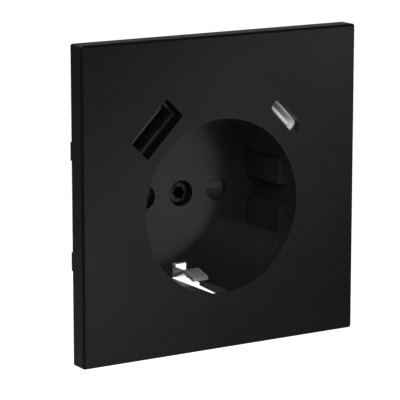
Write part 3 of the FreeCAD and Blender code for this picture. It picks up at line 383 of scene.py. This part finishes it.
# %% Black plastics
well_low, well_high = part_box("socket_well")
WELL_AXIS = Vector(((well_low.x + well_high.x) / 2, 0, (well_low.z + well_high.z) / 2))
WELL_MOUTH = 0.0195
FACE_COLOURS = (0.0028, 0.0028, 0.0024), (0.0038, 0.0039, 0.0034)
WELL_COLOURS = (0.0105, 0.0107, 0.0097), (0.0125, 0.0128, 0.0116)


def from_well_axis(tree):
    """How far a point is from the axis of the round well."""
    centred = tree.nodes.new("ShaderNodeMapping")
    centred.inputs["Location"].default_value = -WELL_AXIS
    centred.inputs["Scale"].default_value = (1, 0, 1)
    tree.links.new(own_coordinates(tree), centred.inputs["Vector"])
    length = tree.nodes.new("ShaderNodeVectorMath")
    length.operation = "LENGTH"
    tree.links.new(centred.outputs["Vector"], length.inputs[0])
    return length.outputs["Value"]


print("the well's axis is", round(-WELL_AXIS.z * 1000, 2), "mm below the middle of the cover")

# %% [markdown]
# ## The satin face
# The square face has the pebbled skin, polished a little along its border. Its material also covers the
# plate's bevel at the well's mouth, so inside that circle it changes to the well's colours. Two materials
# on one part would do the same, but the line between them would have to follow mesh edges.

# %% The satin face
face_black, tree, surface = start_finish("face_black", specular=0.14)
skin = place_group(tree, moulded_skin, Grain=4200.0, Patch=45.0)
rub = place_group(tree, rubbed_border, Half_Width=cover_high.x, Band=0.0011)
colour = blend_colours(tree, skin["Patches"], *FACE_COLOURS)
colour = blend_colours(tree, rub["Rub"], colour, (0.0036, 0.0036, 0.0033))
in_mouth = spread(tree, from_well_axis(tree), WELL_MOUTH, WELL_MOUTH + 0.0002, 1.0, 0.0)
mouth_colour = blend_colours(tree, skin["Patches"], *WELL_COLOURS)
tree.links.new(blend_colours(tree, in_mouth, colour, mouth_colour), surface.inputs["Base Color"])
satin = spread(tree, skin["Patches"], 0.0, 1.0, 0.23, 0.28)
polished = maths(tree, "MULTIPLY", rub["Rub"], 0.05)
tree.links.new(maths(tree, "SUBTRACT", satin, polished), surface.inputs["Roughness"])
raise_bumps(tree, surface, skin["Height"], 0.000004)
dress(face_black, "cover_plate")

# %% [markdown]
# ## The well and the shutter
# The well's skin is finer than the face's and shines a little more. The pin shutters are a separate
# moulding behind the well's floor, in a paler and duller plastic, so they read as round spots in the pin
# holes. Both are one call of the moulded plastic with their own sizes.

# %% The well and the shutter
well_black = moulded("well_black", *WELL_COLOURS, (0.26, 0.29),
                     grain=5200.0, patch=70.0, bump=0.000005, specular=0.25)
dress(well_black, "socket_well")
shutter_black = moulded("shutter_black", (0.036, 0.036, 0.034), (0.042, 0.042, 0.040), (0.34, 0.42),
                        grain=4000.0, patch=150.0, bump=0.000003)
dress(shutter_black, "shutter_slider")

# %% [markdown]
# ## White and grey plastics
# The parts that hold current or the charger are mouldings in pale, heat-proof plastic. It is filled with
# glass and mineral powder, so it isn't clean white: it has a fine dark speckle and a slight warm tint.
# The lid over the contacts is a light grey moulding, so that a missing lid is noticed in the factory.

# %% White and grey plastics
housing_white = moulded("housing_white", (0.70, 0.70, 0.67), (0.79, 0.79, 0.77), (0.42, 0.52),
                        grain=2600.0, patch=90.0, bump=0.000012, dusty=(0.50, 0.48, 0.43))
dress(housing_white, "shutter_guide", "contact_base", "usb_holder", "charger_cap")
lid_grey = moulded("lid_grey", (0.34, 0.35, 0.36), (0.40, 0.41, 0.42), (0.45, 0.55),
                   grain=2600.0, patch=110.0, bump=0.000012, dusty=(0.24, 0.24, 0.25))
dress(lid_grey, "contact_lid")

# %% [markdown]
# ## Release buttons
# Each terminal has a small push-in button that frees its wires. The buttons are coloured by the wire:
# orange for line, blue for neutral, green for earth. They are glossier than the housing, because they
# are moulded in a different, tougher plastic with a polished mould.

# %% Release buttons
button_colours = {"line_release": (0.72, 0.20, 0.03), "neutral_release": (0.04, 0.16, 0.50),
                  "earth_release": (0.05, 0.32, 0.08)}
for button, paint in button_colours.items():
    paler = tuple(min(1.0, 1.25 * part + 0.01) for part in paint)
    dress(moulded(button, paint, paler, (0.24, 0.34), grain=3800.0, patch=260.0, bump=0.000003), button)

# %% [markdown]
# ## Metal skins
# Stamped and turned metal is never evenly bright. Rolling and drawing leave fine lines in one direction,
# and the plating bath leaves soft clouds. The group stretches one noise along a chosen direction for the
# lines and keeps a second, round one for the clouds. An anisotropic shader is the other way to get drawn
# metal, but the clouds and scratches would still be missing.

# %% The drawn metal group
drawn_metal, metal_in, metal_out = new_group(
    "drawn_metal", {"Cloud": 140.0, "Lines": 900.0, "Stretch X": 1.0, "Stretch Y": 1.0, "Stretch Z": 0.06},
    ["Height", "Clouds", "Scratches"])
place = own_coordinates(drawn_metal)
stretch = drawn_metal.nodes.new("ShaderNodeCombineXYZ")
for axis in "XYZ":
    drawn_metal.links.new(metal_in.outputs["Stretch " + axis], stretch.inputs[axis])
along = drawn_metal.nodes.new("ShaderNodeVectorMath")
along.operation = "MULTIPLY"
drawn_metal.links.new(place, along.inputs[0])
drawn_metal.links.new(stretch.outputs["Vector"], along.inputs[1])
lines = noise(drawn_metal, along.outputs["Vector"], metal_in.outputs["Lines"], 3.0, 0.6)
clouds = noise(drawn_metal, place, metal_in.outputs["Cloud"], 3.0, 0.55)
drawn_metal.links.new(lines, metal_out.inputs["Height"])
drawn_metal.links.new(spread(drawn_metal, clouds, 0.32, 0.68), metal_out.inputs["Clouds"])
drawn_metal.links.new(spread(drawn_metal, lines, 0.62, 0.72), metal_out.inputs["Scratches"])


def metal(name, deep, pale, rough, stretch=(1.0, 1.0, 0.06), cloud=140.0, lines=900.0, bump=0.000003,
          scratch=None, shine=1.0):
    """A plated metal: clouded colour and roughness, drawn lines and paler scratches."""
    made, tree, surface = start_finish(name, 0.5, shine)
    marks = place_group(tree, drawn_metal, Cloud=cloud, Lines=lines, Stretch_X=stretch[0],
                        Stretch_Y=stretch[1], Stretch_Z=stretch[2])
    colour = blend_colours(tree, marks["Clouds"], deep, pale)
    if scratch:
        colour = blend_colours(tree, marks["Scratches"], colour, scratch)
    tree.links.new(colour, surface.inputs["Base Color"])
    tree.links.new(spread(tree, marks["Clouds"], 0.0, 1.0, *rough), surface.inputs["Roughness"])
    raise_bumps(tree, surface, marks["Height"], bump)
    return made


print("drawn_metal has", len(drawn_metal.nodes), "nodes")

# %% [markdown]
# ## Steel parts
# The support frame and the claws are stamped from sheet steel and zinc plated, with a thin bluish
# passivation that looks cloudy. Screws and nuts are small turned steel with the same plating. Springs and
# wire clamps are bare spring steel: darker, smoother, with lines along the strip.

# %% Steel parts
plated_steel = metal("plated_steel", (0.54, 0.56, 0.58), (0.63, 0.64, 0.64), (0.32, 0.42),
                     stretch=(0.08, 1.0, 1.0), cloud=190.0, lines=700.0, scratch=(0.70, 0.70, 0.69))
dress(plated_steel, "support_frame", "claw_left", "claw_right")
screw_steel = metal("screw_steel", (0.46, 0.47, 0.49), (0.62, 0.62, 0.60), (0.24, 0.38),
                    stretch=(1.0, 0.2, 1.0), cloud=420.0, lines=1600.0, bump=0.000002)
dress(screw_steel, "frame_screws", "base_screws", "cover_nut", "cover_screw_ring", "charger_screws",
      "claw_nut_left", "claw_nut_right", "claw_screw_left", "claw_screw_right")
spring_steel = metal("spring_steel", (0.34, 0.34, 0.35), (0.46, 0.46, 0.46), (0.22, 0.34),
                     stretch=(1.0, 1.0, 0.1), cloud=500.0, lines=1800.0, bump=0.000002)
dress(spring_steel, "shutter_spring_left", "shutter_spring_right", "line_clamps", "neutral_clamps",
      "earth_clamps")

# %% [markdown]
# ## The blackened screw
# The cover screw is blackened. Deep in its recess the colour turns near white: partly bare metal where the
# driver has turned, mostly a painted highlight. The mask joins two tests: the point is near the screw's
# axis, and it is deeper than the head's face.

# %% The blackened screw
screw_black = metal("screw_black", (0.030, 0.030, 0.032), (0.050, 0.050, 0.052), (0.34, 0.46),
                    stretch=(1.0, 0.2, 1.0), cloud=600.0, lines=1500.0, bump=0.000003,
                    scratch=(0.10, 0.10, 0.10))
SOCKET_REACH = 0.00125
SOCKET_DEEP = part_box("cover_screw")[0].y + 0.0010
WEAR_AND_HIGHLIGHT_EDGE = 0.0001
tree = screw_black.node_tree
surface = tree.nodes["Principled BSDF"]
near_axis = spread(tree, from_well_axis(tree), SOCKET_REACH, SOCKET_REACH + WEAR_AND_HIGHLIGHT_EDGE, 1.0, 0.0)
split = tree.nodes.new("ShaderNodeSeparateXYZ")
tree.links.new(own_coordinates(tree), split.inputs["Vector"])
deep = spread(tree, split.outputs["Y"], SOCKET_DEEP, SOCKET_DEEP + WEAR_AND_HIGHLIGHT_EDGE)
# Painted highlight with some real driver wear: near-white colour deep in the recess, close to the axis.
driver_wear_and_highlight = maths(tree, "MULTIPLY", near_axis, deep)
blackened = surface.inputs["Base Color"].links[0].from_socket
recess_colour_with_highlight = blend_colours(tree, driver_wear_and_highlight, blackened, (0.95, 0.95, 0.93))
tree.links.new(recess_colour_with_highlight, surface.inputs["Base Color"])
dress(screw_black, "cover_screw")

# %% [markdown]
# ## Contact metals
# Line and neutral run in brass, which tarnishes to a deeper yellow in patches. The earth strap is brass
# too, but nickel plated, so it stays bright; its lower finger is what shines in the well's slot. The USB
# tongues carry small contacts with a thin layer of gold.

# %% Contact metals
contact_brass = metal("contact_brass", (0.62, 0.40, 0.14), (0.80, 0.58, 0.26), (0.22, 0.36),
                      stretch=(1.0, 0.08, 1.0), cloud=240.0, lines=1200.0, scratch=(0.86, 0.68, 0.36))
dress(contact_brass, "line_contact", "neutral_contact")
plated_brass = metal("plated_brass", (0.90, 0.89, 0.86), (0.97, 0.96, 0.94), (0.46, 0.56),
                     stretch=(1.0, 0.08, 1.0), cloud=200.0, lines=900.0, bump=0.000002)
dress(plated_brass, "earth_strap")
gilt = metal("gilt", (0.78, 0.55, 0.20), (0.88, 0.68, 0.30), (0.20, 0.28), cloud=900.0, lines=2600.0,
             bump=0.000001)
dress(gilt, "usb_a_contacts", "usb_c_contacts")

# %% [markdown]
# ## The two ports
# The USB-C port has a bright drawn shell round a white tongue, so the slot reads as one light spot. The
# USB-A shell is blackened and its tongue is black, so that port reads as a dark slot. Shells are rolled
# from strip and show lines along their depth.

# %% The two ports
port_steel = metal("port_steel", (0.88, 0.88, 0.87), (0.94, 0.94, 0.93), (0.40, 0.50),
                   stretch=(1.0, 0.1, 1.0), cloud=300.0, lines=1400.0, bump=0.000002, shine=0.15)
dress(port_steel, "usb_c_shell")
port_dark = metal("port_dark", (0.17, 0.17, 0.165), (0.23, 0.23, 0.225), (0.42, 0.52),
                  stretch=(1.0, 0.1, 1.0), cloud=260.0, lines=1200.0)
dress(port_dark, "usb_a_shell")
port_white = moulded("port_white", (0.84, 0.84, 0.83), (0.90, 0.90, 0.89), (0.34, 0.42),
                     grain=4200.0, patch=300.0, bump=0.000003)
dress(port_white, "usb_c_insulator")
port_black = moulded("port_black", (0.095, 0.095, 0.091), (0.120, 0.120, 0.115), (0.38, 0.48),
                     grain=4200.0, patch=220.0, bump=0.000004)
dress(port_black, "usb_a_insulator")

# %% [markdown]
# ## The charger's board
# The board is glass fibre under a green lacquer. Copper tracks below the lacquer show as slightly paler,
# raised bands, and the weave of the glass gives a fine square pattern. A brick pattern with wide mortar
# stands in for the tracks: its bricks are bare board and its mortar is track.

# %% The charger's board
board_green, tree, surface = start_finish("board_green", 0.5)
place = own_coordinates(tree)
flat = tree.nodes.new("ShaderNodeMapping")
flat.inputs["Rotation"].default_value = (math.radians(90), 0, 0)
tree.links.new(place, flat.inputs["Vector"])
tracks = tree.nodes.new("ShaderNodeTexBrick")
tracks.inputs["Color1"].default_value = (0.014, 0.105, 0.040, 1)
tracks.inputs["Color2"].default_value = (0.018, 0.120, 0.046, 1)
tracks.inputs["Mortar"].default_value = (0.040, 0.210, 0.085, 1)
tracks.inputs["Scale"].default_value = 210.0
tracks.inputs["Mortar Size"].default_value = 0.05
tracks.inputs["Brick Width"].default_value = 0.9
tree.links.new(flat.outputs["Vector"], tracks.inputs["Vector"])
skin = place_group(tree, moulded_skin, Grain=2400.0, Patch=120.0)
lacquer = blend_colours(tree, skin["Patches"], (0.86, 0.92, 0.86), (1.0, 1.0, 1.0))
tint = tree.nodes.new("ShaderNodeMix")
tint.data_type = "RGBA"
tint.blend_type = "MULTIPLY"
tint.inputs["Factor"].default_value = 1.0
tree.links.new(tracks.outputs["Color"], tint.inputs["A"])
tree.links.new(lacquer, tint.inputs["B"])
tree.links.new(tint.outputs["Result"], surface.inputs["Base Color"])
tree.links.new(spread(tree, skin["Patches"], 0.0, 1.0, 0.20, 0.34), surface.inputs["Roughness"])
raise_bumps(tree, surface, tracks.outputs["Fac"], 0.00003)
dress(board_green, "usb_board")

# %% [markdown]
# ## Charger parts and leads
# The transformer has a rough, almost black ferrite core. The capacitors wear glossy shrink sleeve, the
# control chip is dull black resin, and the two leads to the contacts are soft PVC. All are moulded or
# shrunk plastics in a wide sense, so the same call serves with a coarser grain and other colours.

# %% Charger parts and leads
ferrite = moulded("ferrite", (0.030, 0.030, 0.032), (0.060, 0.058, 0.056), (0.60, 0.75),
                  grain=1800.0, patch=700.0, bump=0.00003, dusty=(0.12, 0.12, 0.12))
dress(ferrite, "transformer_core")
sleeve = moulded("capacitor_sleeve", (0.010, 0.016, 0.050), (0.016, 0.024, 0.070), (0.16, 0.26),
                 grain=900.0, patch=260.0, bump=0.000006)
dress(sleeve, "input_capacitor", "output_capacitor")
chip_black = moulded("chip_black", (0.022, 0.022, 0.023), (0.034, 0.034, 0.034), (0.50, 0.62),
                     grain=5200.0, patch=900.0, bump=0.000008)
dress(chip_black, "controller_chip")
lead_brown = moulded("lead_brown", (0.105, 0.040, 0.018), (0.140, 0.056, 0.026), (0.30, 0.42),
                     grain=1500.0, patch=300.0, bump=0.000006)
dress(lead_brown, "line_lead")
lead_blue = moulded("lead_blue", (0.020, 0.085, 0.330), (0.030, 0.115, 0.420), (0.30, 0.42),
                    grain=1500.0, patch=300.0, bump=0.000006)
dress(lead_blue, "neutral_lead")

# %% [markdown]
# ## The winding's tape
# The transformer's winding is wrapped in yellow polyester tape, and every turn overlaps the last. A wave
# pattern along the winding gives the colour, the shine and the small steps. Winding real strips of mesh
# would cost thousands of faces for a part that sits under the cap.

# %% The winding's tape
winding_tape, tree, surface = start_finish("winding_tape", 0.5)
turns = tree.nodes.new("ShaderNodeTexWave")
turns.bands_direction = "Y"
turns.inputs["Scale"].default_value = 130.0
turns.inputs["Distortion"].default_value = 0.6
tree.links.new(own_coordinates(tree), turns.inputs["Vector"])
tree.links.new(blend_colours(tree, turns.outputs["Fac"], (0.60, 0.38, 0.05), (0.78, 0.56, 0.12)),
               surface.inputs["Base Color"])
tree.links.new(spread(tree, turns.outputs["Fac"], 0.0, 1.0, 0.20, 0.34), surface.inputs["Roughness"])
raise_bumps(tree, surface, turns.outputs["Fac"], 0.00005)
dress(winding_tape, "transformer_winding")
undressed = [name for name, node in nodes.items() for slot in node.material_slots
             if slot.material is None or not slot.material.name.endswith("_finish")]
print("CAD parts without a finish:", undressed)

# %% [markdown]
# ## Turned shapes
# Screws, funnels and solder domes are all turned shapes: a row of rings along one axis, bridged one to the
# next. A ring can also have lobes, which pull some of its points inwards, and that makes a driver recess.
# Spinning a profile is the other way, but a spun profile can't have lobes.

# %% Turned shapes
RING_STEPS = 48


def ring(shape, centre, radius, lobes=0, lobe_depth=0.0):
    """A circle of edges round the Y direction; lobes pull some of its points towards the middle."""
    made = bmesh.ops.create_circle(shape, segments=RING_STEPS, radius=radius,
                                   matrix=Matrix.Translation(centre) @ Matrix.Rotation(math.pi / 2, 4, "X"))
    for vert in made["verts"]:
        if lobes:
            out = vert.co - centre
            swing = math.cos(lobes * math.atan2(out.z, out.x))
            vert.co = centre + out * (1.0 - lobe_depth * (1.0 - swing) / 2)
    return list({edge for vert in made["verts"] for edge in vert.link_edges})


def turned(shape, axis_x, axis_z, stations, close=True):
    """A turned part: rings at (y, radius) or (y, radius, lobes, lobe depth), bridged in order."""
    loops = [ring(shape, Vector((axis_x, station[0], axis_z)), station[1], *station[2:])
             for station in stations]
    for first, second in zip(loops, loops[1:]):
        bmesh.ops.bridge_loops(shape, edges=first + second)
    if close:
        for loop in (loops[0], loops[-1]):
            bmesh.ops.holes_fill(shape, edges=loop, sides=RING_STEPS)


print("a ring has", RING_STEPS, "points")

# %% [markdown]
# ## A thread
# A thread is a small triangle spun round the shank while it moves one pitch a turn. A screw modifier would
# do it too, but it works on a whole object, and here the thread is one part of a screw.

# %% A thread
THREAD_STEPS = 24


def thread(shape, axis_x, axis_z, start, end, radius, pitch):
    """A triangular ridge spun along the Y direction from start to end."""
    corners = [(start, radius * 0.84), (start + pitch * 0.45, radius), (start + pitch * 0.9, radius * 0.84)]
    verts = [shape.verts.new((axis_x + reach, y, axis_z)) for y, reach in corners]
    edges = [shape.edges.new((verts[i], verts[(i + 1) % 3])) for i in range(3)]
    count = max(1, int((end - start) / pitch) - 1)
    steps = count * THREAD_STEPS
    spun = bmesh.ops.spin(shape, geom=verts + edges, cent=(axis_x, 0, axis_z), axis=(0, 1, 0),
                          dvec=(0, pitch / THREAD_STEPS, 0), angle=2 * math.pi * count, steps=steps,
                          use_merge=False)
    last = [item for item in spun["geom_last"] if isinstance(item, bmesh.types.BMVert)]
    shape.faces.new(verts)
    shape.faces.new(last)


print("a turn of thread has", THREAD_STEPS, "steps")

# %% [markdown]
# ## From a shape to a piece
# A finished shape is cleaned before it becomes an object: points in the same place are merged, then all
# faces are turned outwards. Edges sharper than a limit stay sharp and the rest are shaded smooth. The
# object stays at the origin with its place in its mesh, as the CAD parts have it, and rides on a body.

# %% From a shape to a piece
MERGE_WITHIN = 1e-7
SHARP_OVER = math.radians(35)


def keep(shape, name, body, finish):
    """Make a finished shape a piece that rides on a body and takes a finish."""
    bmesh.ops.remove_doubles(shape, verts=shape.verts, dist=MERGE_WITHIN)
    bmesh.ops.recalc_face_normals(shape, faces=shape.faces)
    mesh = bpy.data.meshes.new(name)
    shape.to_mesh(mesh)
    shape.free()
    mesh.materials.append(finish)
    mesh.shade_smooth()
    mesh.set_sharp_from_angle(angle=SHARP_OVER)
    piece = bpy.data.objects.new(name, mesh)
    bpy.context.collection.objects.link(piece)
    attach(piece, body)
    print(name, "has", len(mesh.polygons), "faces, on", body)
    return piece


print("shapes become pieces with edges over", round(math.degrees(SHARP_OVER)), "degrees kept sharp")

# %% [markdown]
# ## Threaded screws
# The CAD screws are plain rods, because a thread would slow the physics for nothing. The three screws that
# a hand can turn get a real thread, a rounded head and their driver recess, and stand in for the CAD ones.
# The cover screw has six lobes; the claw screws have a cross, which is four deep lobes. Each is made to
# the box of its CAD screw, so it turns and travels exactly as that one does.

# %% Threaded screws
def threaded_screw(name, node, body, finish, shank, head_height, socket, lobes, lobe_depth):
    """A screw whose head faces -Y, made to the box of the CAD screw it stands for."""
    low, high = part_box(node)
    x, z = (low.x + high.x) / 2, (low.z + high.z) / 2
    head = (high.x - low.x) / 2
    top, under = low.y, low.y + head_height
    shape = bmesh.new()
    turned(shape, x, z, [
        (top + head_height * 0.85, socket * 0.94, lobes, lobe_depth),
        (top + head_height * 0.12, socket, lobes, lobe_depth),
        (top, socket * 1.10, lobes, lobe_depth * 0.8),
        (top, head * 0.80), (top + head_height * 0.08, head * 0.92), (top + head_height * 0.30, head),
        (under - 0.00008, head), (under, head * 0.97), (under, shank * 0.86),
        (high.y - shank * 0.4, shank * 0.86), (high.y, shank * 0.55)])
    thread(shape, x, z, under + 0.0006, high.y - shank * 0.3, shank, shank * 0.33)
    piece = keep(shape, name, body, finish)
    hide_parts(node)
    return piece


threaded_screw("cover_screw_threaded", "cover_screw", "cover_screw", screw_black,
               shank=0.0015, head_height=0.0014, socket=0.0014, lobes=6, lobe_depth=0.30)
for hand in ("left", "right"):
    threaded_screw("claw_screw_" + hand + "_threaded", "claw_screw_" + hand, "claw_screw_" + hand,
                   screw_steel, shank=0.00125, head_height=0.0016, socket=0.0015,
                   lobes=4, lobe_depth=0.62)

# %% [markdown]
# ## Shutter springs
# Two compression springs hold the shutter down over the pin holes. A real one is wound on a mandrel with
# a turn lying flat at each end, so that it stands straight. A ring of wire is spun about the spring's
# axis and climbs as it goes: one flat turn, the working turns, one more flat turn. Winding it here keeps
# the wire round.

# %% Shutter springs
SPRING_WIRE = 0.00035
WORKING_TURNS = 7
STEPS_PER_TURN = 24


def wound_spring(node, body, finish):
    """A coil along Z that fills the box of the CAD spring it stands for."""
    low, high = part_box(node)
    middle = (low + high) / 2
    reach = (high.x - low.x - SPRING_WIRE) / 2
    shape = bmesh.new()
    start = Matrix.Translation((middle.x + reach, middle.y, low.z + SPRING_WIRE / 2)) @ Matrix.Rotation(
        math.radians(90), 4, "X")
    ring_verts = bmesh.ops.create_circle(shape, segments=9, radius=SPRING_WIRE / 2, cap_ends=True,
                                         matrix=start)["verts"]
    wire = list({edge for vert in ring_verts for edge in vert.link_edges})
    flat_rise = SPRING_WIRE * 1.1
    working_rise = high.z - low.z - SPRING_WIRE - 2 * flat_rise
    for turns, rise in ((1, flat_rise), (WORKING_TURNS, working_rise), (1, flat_rise)):
        steps = turns * STEPS_PER_TURN
        spun = bmesh.ops.spin(shape, geom=wire, cent=middle, axis=(0, 0, 1), dvec=(0, 0, rise / steps),
                              angle=2 * math.pi * turns, steps=steps, use_merge=False)
        wire = [item for item in spun["geom_last"] if isinstance(item, bmesh.types.BMEdge)]
    shape.faces.new([item for item in spun["geom_last"] if isinstance(item, bmesh.types.BMVert)])
    piece = keep(shape, node + "_wound", body, finish)
    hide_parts(node)
    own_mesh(piece)
    return piece


for hand in ("left", "right"):
    wound_spring("shutter_spring_" + hand, "cover", spring_steel)

# %% [markdown]
# ## Wire entries
# A round hole in flat plastic is hard to hit with a stripped wire, so real outlets have a small funnel
# round each entry. Each funnel here is a low turned ring whose inside slopes into the hole. The places
# and sizes come from the CAD's list of mounts, so the rings sit exactly on the holes.

# %% Wire entries
base_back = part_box("contact_base")[1].y
rooted, shoulder, crest = base_back - 0.0001, base_back + 0.00035, base_back + 0.00045
shape = bmesh.new()
entries = [mount for mount in frame["record"]["mounts"] if mount["name"].startswith("wire_entry")]
for mount in entries:
    hole = mount["dims"]["r_mm"] / 1000
    x, z = mount["pos_m"][0], mount["pos_m"][2]
    turned(shape, x, z, [(rooted, hole * 1.02), (shoulder, hole * 1.06), (crest, hole * 1.10),
                         (shoulder, hole * 1.14), (rooted, hole * 1.15), (rooted, hole * 1.02)], close=False)
keep(shape, "wire_entry_funnels", "base", housing_white)

# %% [markdown]
# ## Inside of the cover
# The back of a moulded cover is never flat. Thin ribs run from the well to the corners, so that the
# square stays flat as it cools. A rib is a bevelled block that gets thinner towards its top, as the
# mould's draft demands. Cutting them in CAD would be as good; they carry nothing, so they are added here.

# %% Inside of the cover
RIB_THICK = 0.0011
RIB_HEIGHT = 0.0014
FACE_THICK = 0.0020
END_DRAFT = 0.1


def draft_block(shape, centre, size, turn=0.0, draft=0.85, edge=0.0001):
    """A block along X with bevelled edges, thinner at its far end, turned about the Y direction."""
    made = bmesh.ops.create_cube(shape, size=1.0)["verts"]
    for vert in made:
        if vert.co.y > 0:
            vert.co.x *= 1 - (1 - draft) * END_DRAFT
            vert.co.z *= draft
    bmesh.ops.scale(shape, verts=made, vec=size)
    edges = list({item for vert in made for item in vert.link_edges})
    bevelled = bmesh.ops.bevel(shape, geom=edges, offset=edge, offset_type="OFFSET", affect="EDGES",
                               segments=2, profile=0.5, material=-1, clamp_overlap=True)
    verts = list({vert for face in bevelled["faces"] for vert in face.verts}
                 | {vert for vert in made if vert.is_valid})
    bmesh.ops.rotate(shape, verts=verts, cent=(0, 0, 0), matrix=Matrix.Rotation(turn, 3, "Y"))
    bmesh.ops.translate(shape, verts=verts, vec=centre)


cover_inside = cover_low.y + FACE_THICK
shape = bmesh.new()
rib_runs = {"lower": (0.0250, 0.0405, -1), "upper": (0.0370, 0.0440, 1)}
for start, end, upward in rib_runs.values():
    for side in (-1, 1):
        toward = Vector((side * 0.031, 0, upward * 0.031)) - WELL_AXIS
        toward.normalize()
        middle = WELL_AXIS + toward * (start + end) / 2
        middle.y = cover_inside + RIB_HEIGHT / 2 - 0.0001
        draft_block(shape, middle, (end - start, RIB_HEIGHT, RIB_THICK),
                    turn=-math.atan2(toward.z, toward.x))
keep(shape, "cover_ribs", "cover", well_black)

# %% [markdown]
# ## Ejector marks
# Five pins push the warm cover out of its mould, and each leaves a low ring where it pressed. The marks
# stand clear of the ribs, the well and the ports, on the flat inside of the face.

# %% Ejector marks
shape = bmesh.new()
for x, z in ((-0.0300, 0.0060), (0.0300, 0.0080), (-0.0130, -0.0295), (0.0130, -0.0295), (0.0, 0.0300)):
    turned(shape, x, z, [(cover_inside - 0.0001, 0.0020), (cover_inside + 0.00010, 0.0020),
                         (cover_inside + 0.00014, 0.0019), (cover_inside + 0.00005, 0.0017)])
keep(shape, "ejector_marks", "cover", well_black)

# %% [markdown]
# ## Louvres on the cap
# The cap over the charger has low louvres moulded on its back, which let warm air past the wall box. They
# are the same drafted block as the ribs, four on each side of the middle, placed from the cap's CAD box.

# %% Louvres on the cap
LOUVRES = 4
LOUVRE_PITCH = 0.0013
cap_low, cap_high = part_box("charger_cap")
shape = bmesh.new()
for side in (-1, 1):
    for step in range(LOUVRES):
        z = cap_low.z + 0.0020 + LOUVRE_PITCH * step
        draft_block(shape, Vector((side * 0.0100, cap_high.y + 0.00018, z)), (0.0085, 0.00055, 0.0006),
                    draft=0.7, edge=0.00012)
keep(shape, "cap_louvres", "base", housing_white)

# %% [markdown]
# ## Small parts on the board
# Beside the cap the board stays bare. Chip resistors sit there with tinned ends, and the control chip has
# bent legs, each made of three short blocks: out, down and flat on the board. Their places are listed,
# clear of the cap; their height comes from the CAD box of the board.

# %% Small parts on the board
LEGS = 4
LEG_PITCH = 0.0010
board_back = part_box("usb_board")[1].y
chip_low, chip_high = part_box("controller_chip")
resistor_places = [(0.0190, 0.0082), (0.0216, 0.0082), (0.0238, 0.0088), (0.0188, 0.0172), (-0.0190, 0.0090),
                   (-0.0216, 0.0090), (-0.0190, 0.0122), (-0.0216, 0.0122), (-0.0187, 0.0156)]
bodies, ends = bmesh.new(), bmesh.new()
for x, z in resistor_places:
    draft_block(bodies, Vector((x, board_back + 0.00022, z)), (0.0011, 0.00046, 0.0008), edge=0.00004)
    for side in (-1, 1):
        draft_block(ends, Vector((x + side * 0.00066, board_back + 0.00022, z)), (0.00032, 0.0005, 0.00086),
                    edge=0.00006)
leg_blocks = (((0.00018, 0.00042), (0.00046, 0.00014, 0.0004)),
              ((0.00038, 0.00022), (0.00014, 0.00044, 0.0004)),
              ((0.00056, 0.00007), (0.00040, 0.00014, 0.0004)))
for side, chip_edge in ((-1, chip_low.x), (1, chip_high.x)):
    for step in range(LEGS):
        z = chip_low.z + 0.0005 + LEG_PITCH * step
        for (out, lift), size in leg_blocks:
            draft_block(ends, Vector((chip_edge + side * out, board_back + lift, z)), size, edge=0.00003)
keep(bodies, "chip_resistors", "base", chip_black)
keep(ends, "tinned_ends", "base", port_steel)

# %% [markdown]
# ## Solder domes
# Where a pin comes through the board, solder climbs it in a concave cone. Six turned domes with a fine tip
# stand on the bare ends of the board, beside the cap.

# %% Solder domes
shape = bmesh.new()
for x, z in ((0.0178, 0.0196), (0.0178, 0.0214), (-0.0178, 0.0196), (-0.0178, 0.0214), (0.0245, 0.0118),
             (-0.0243, 0.0118)):
    turned(shape, x, z, [(board_back - 0.0001, 0.00085), (board_back + 0.00006, 0.00082),
                         (board_back + 0.00028, 0.00052), (board_back + 0.00062, 0.00034),
                         (board_back + 0.00090, 0.00028), (board_back + 0.00100, 0.00016)])
keep(shape, "solder_domes", "base", port_steel)
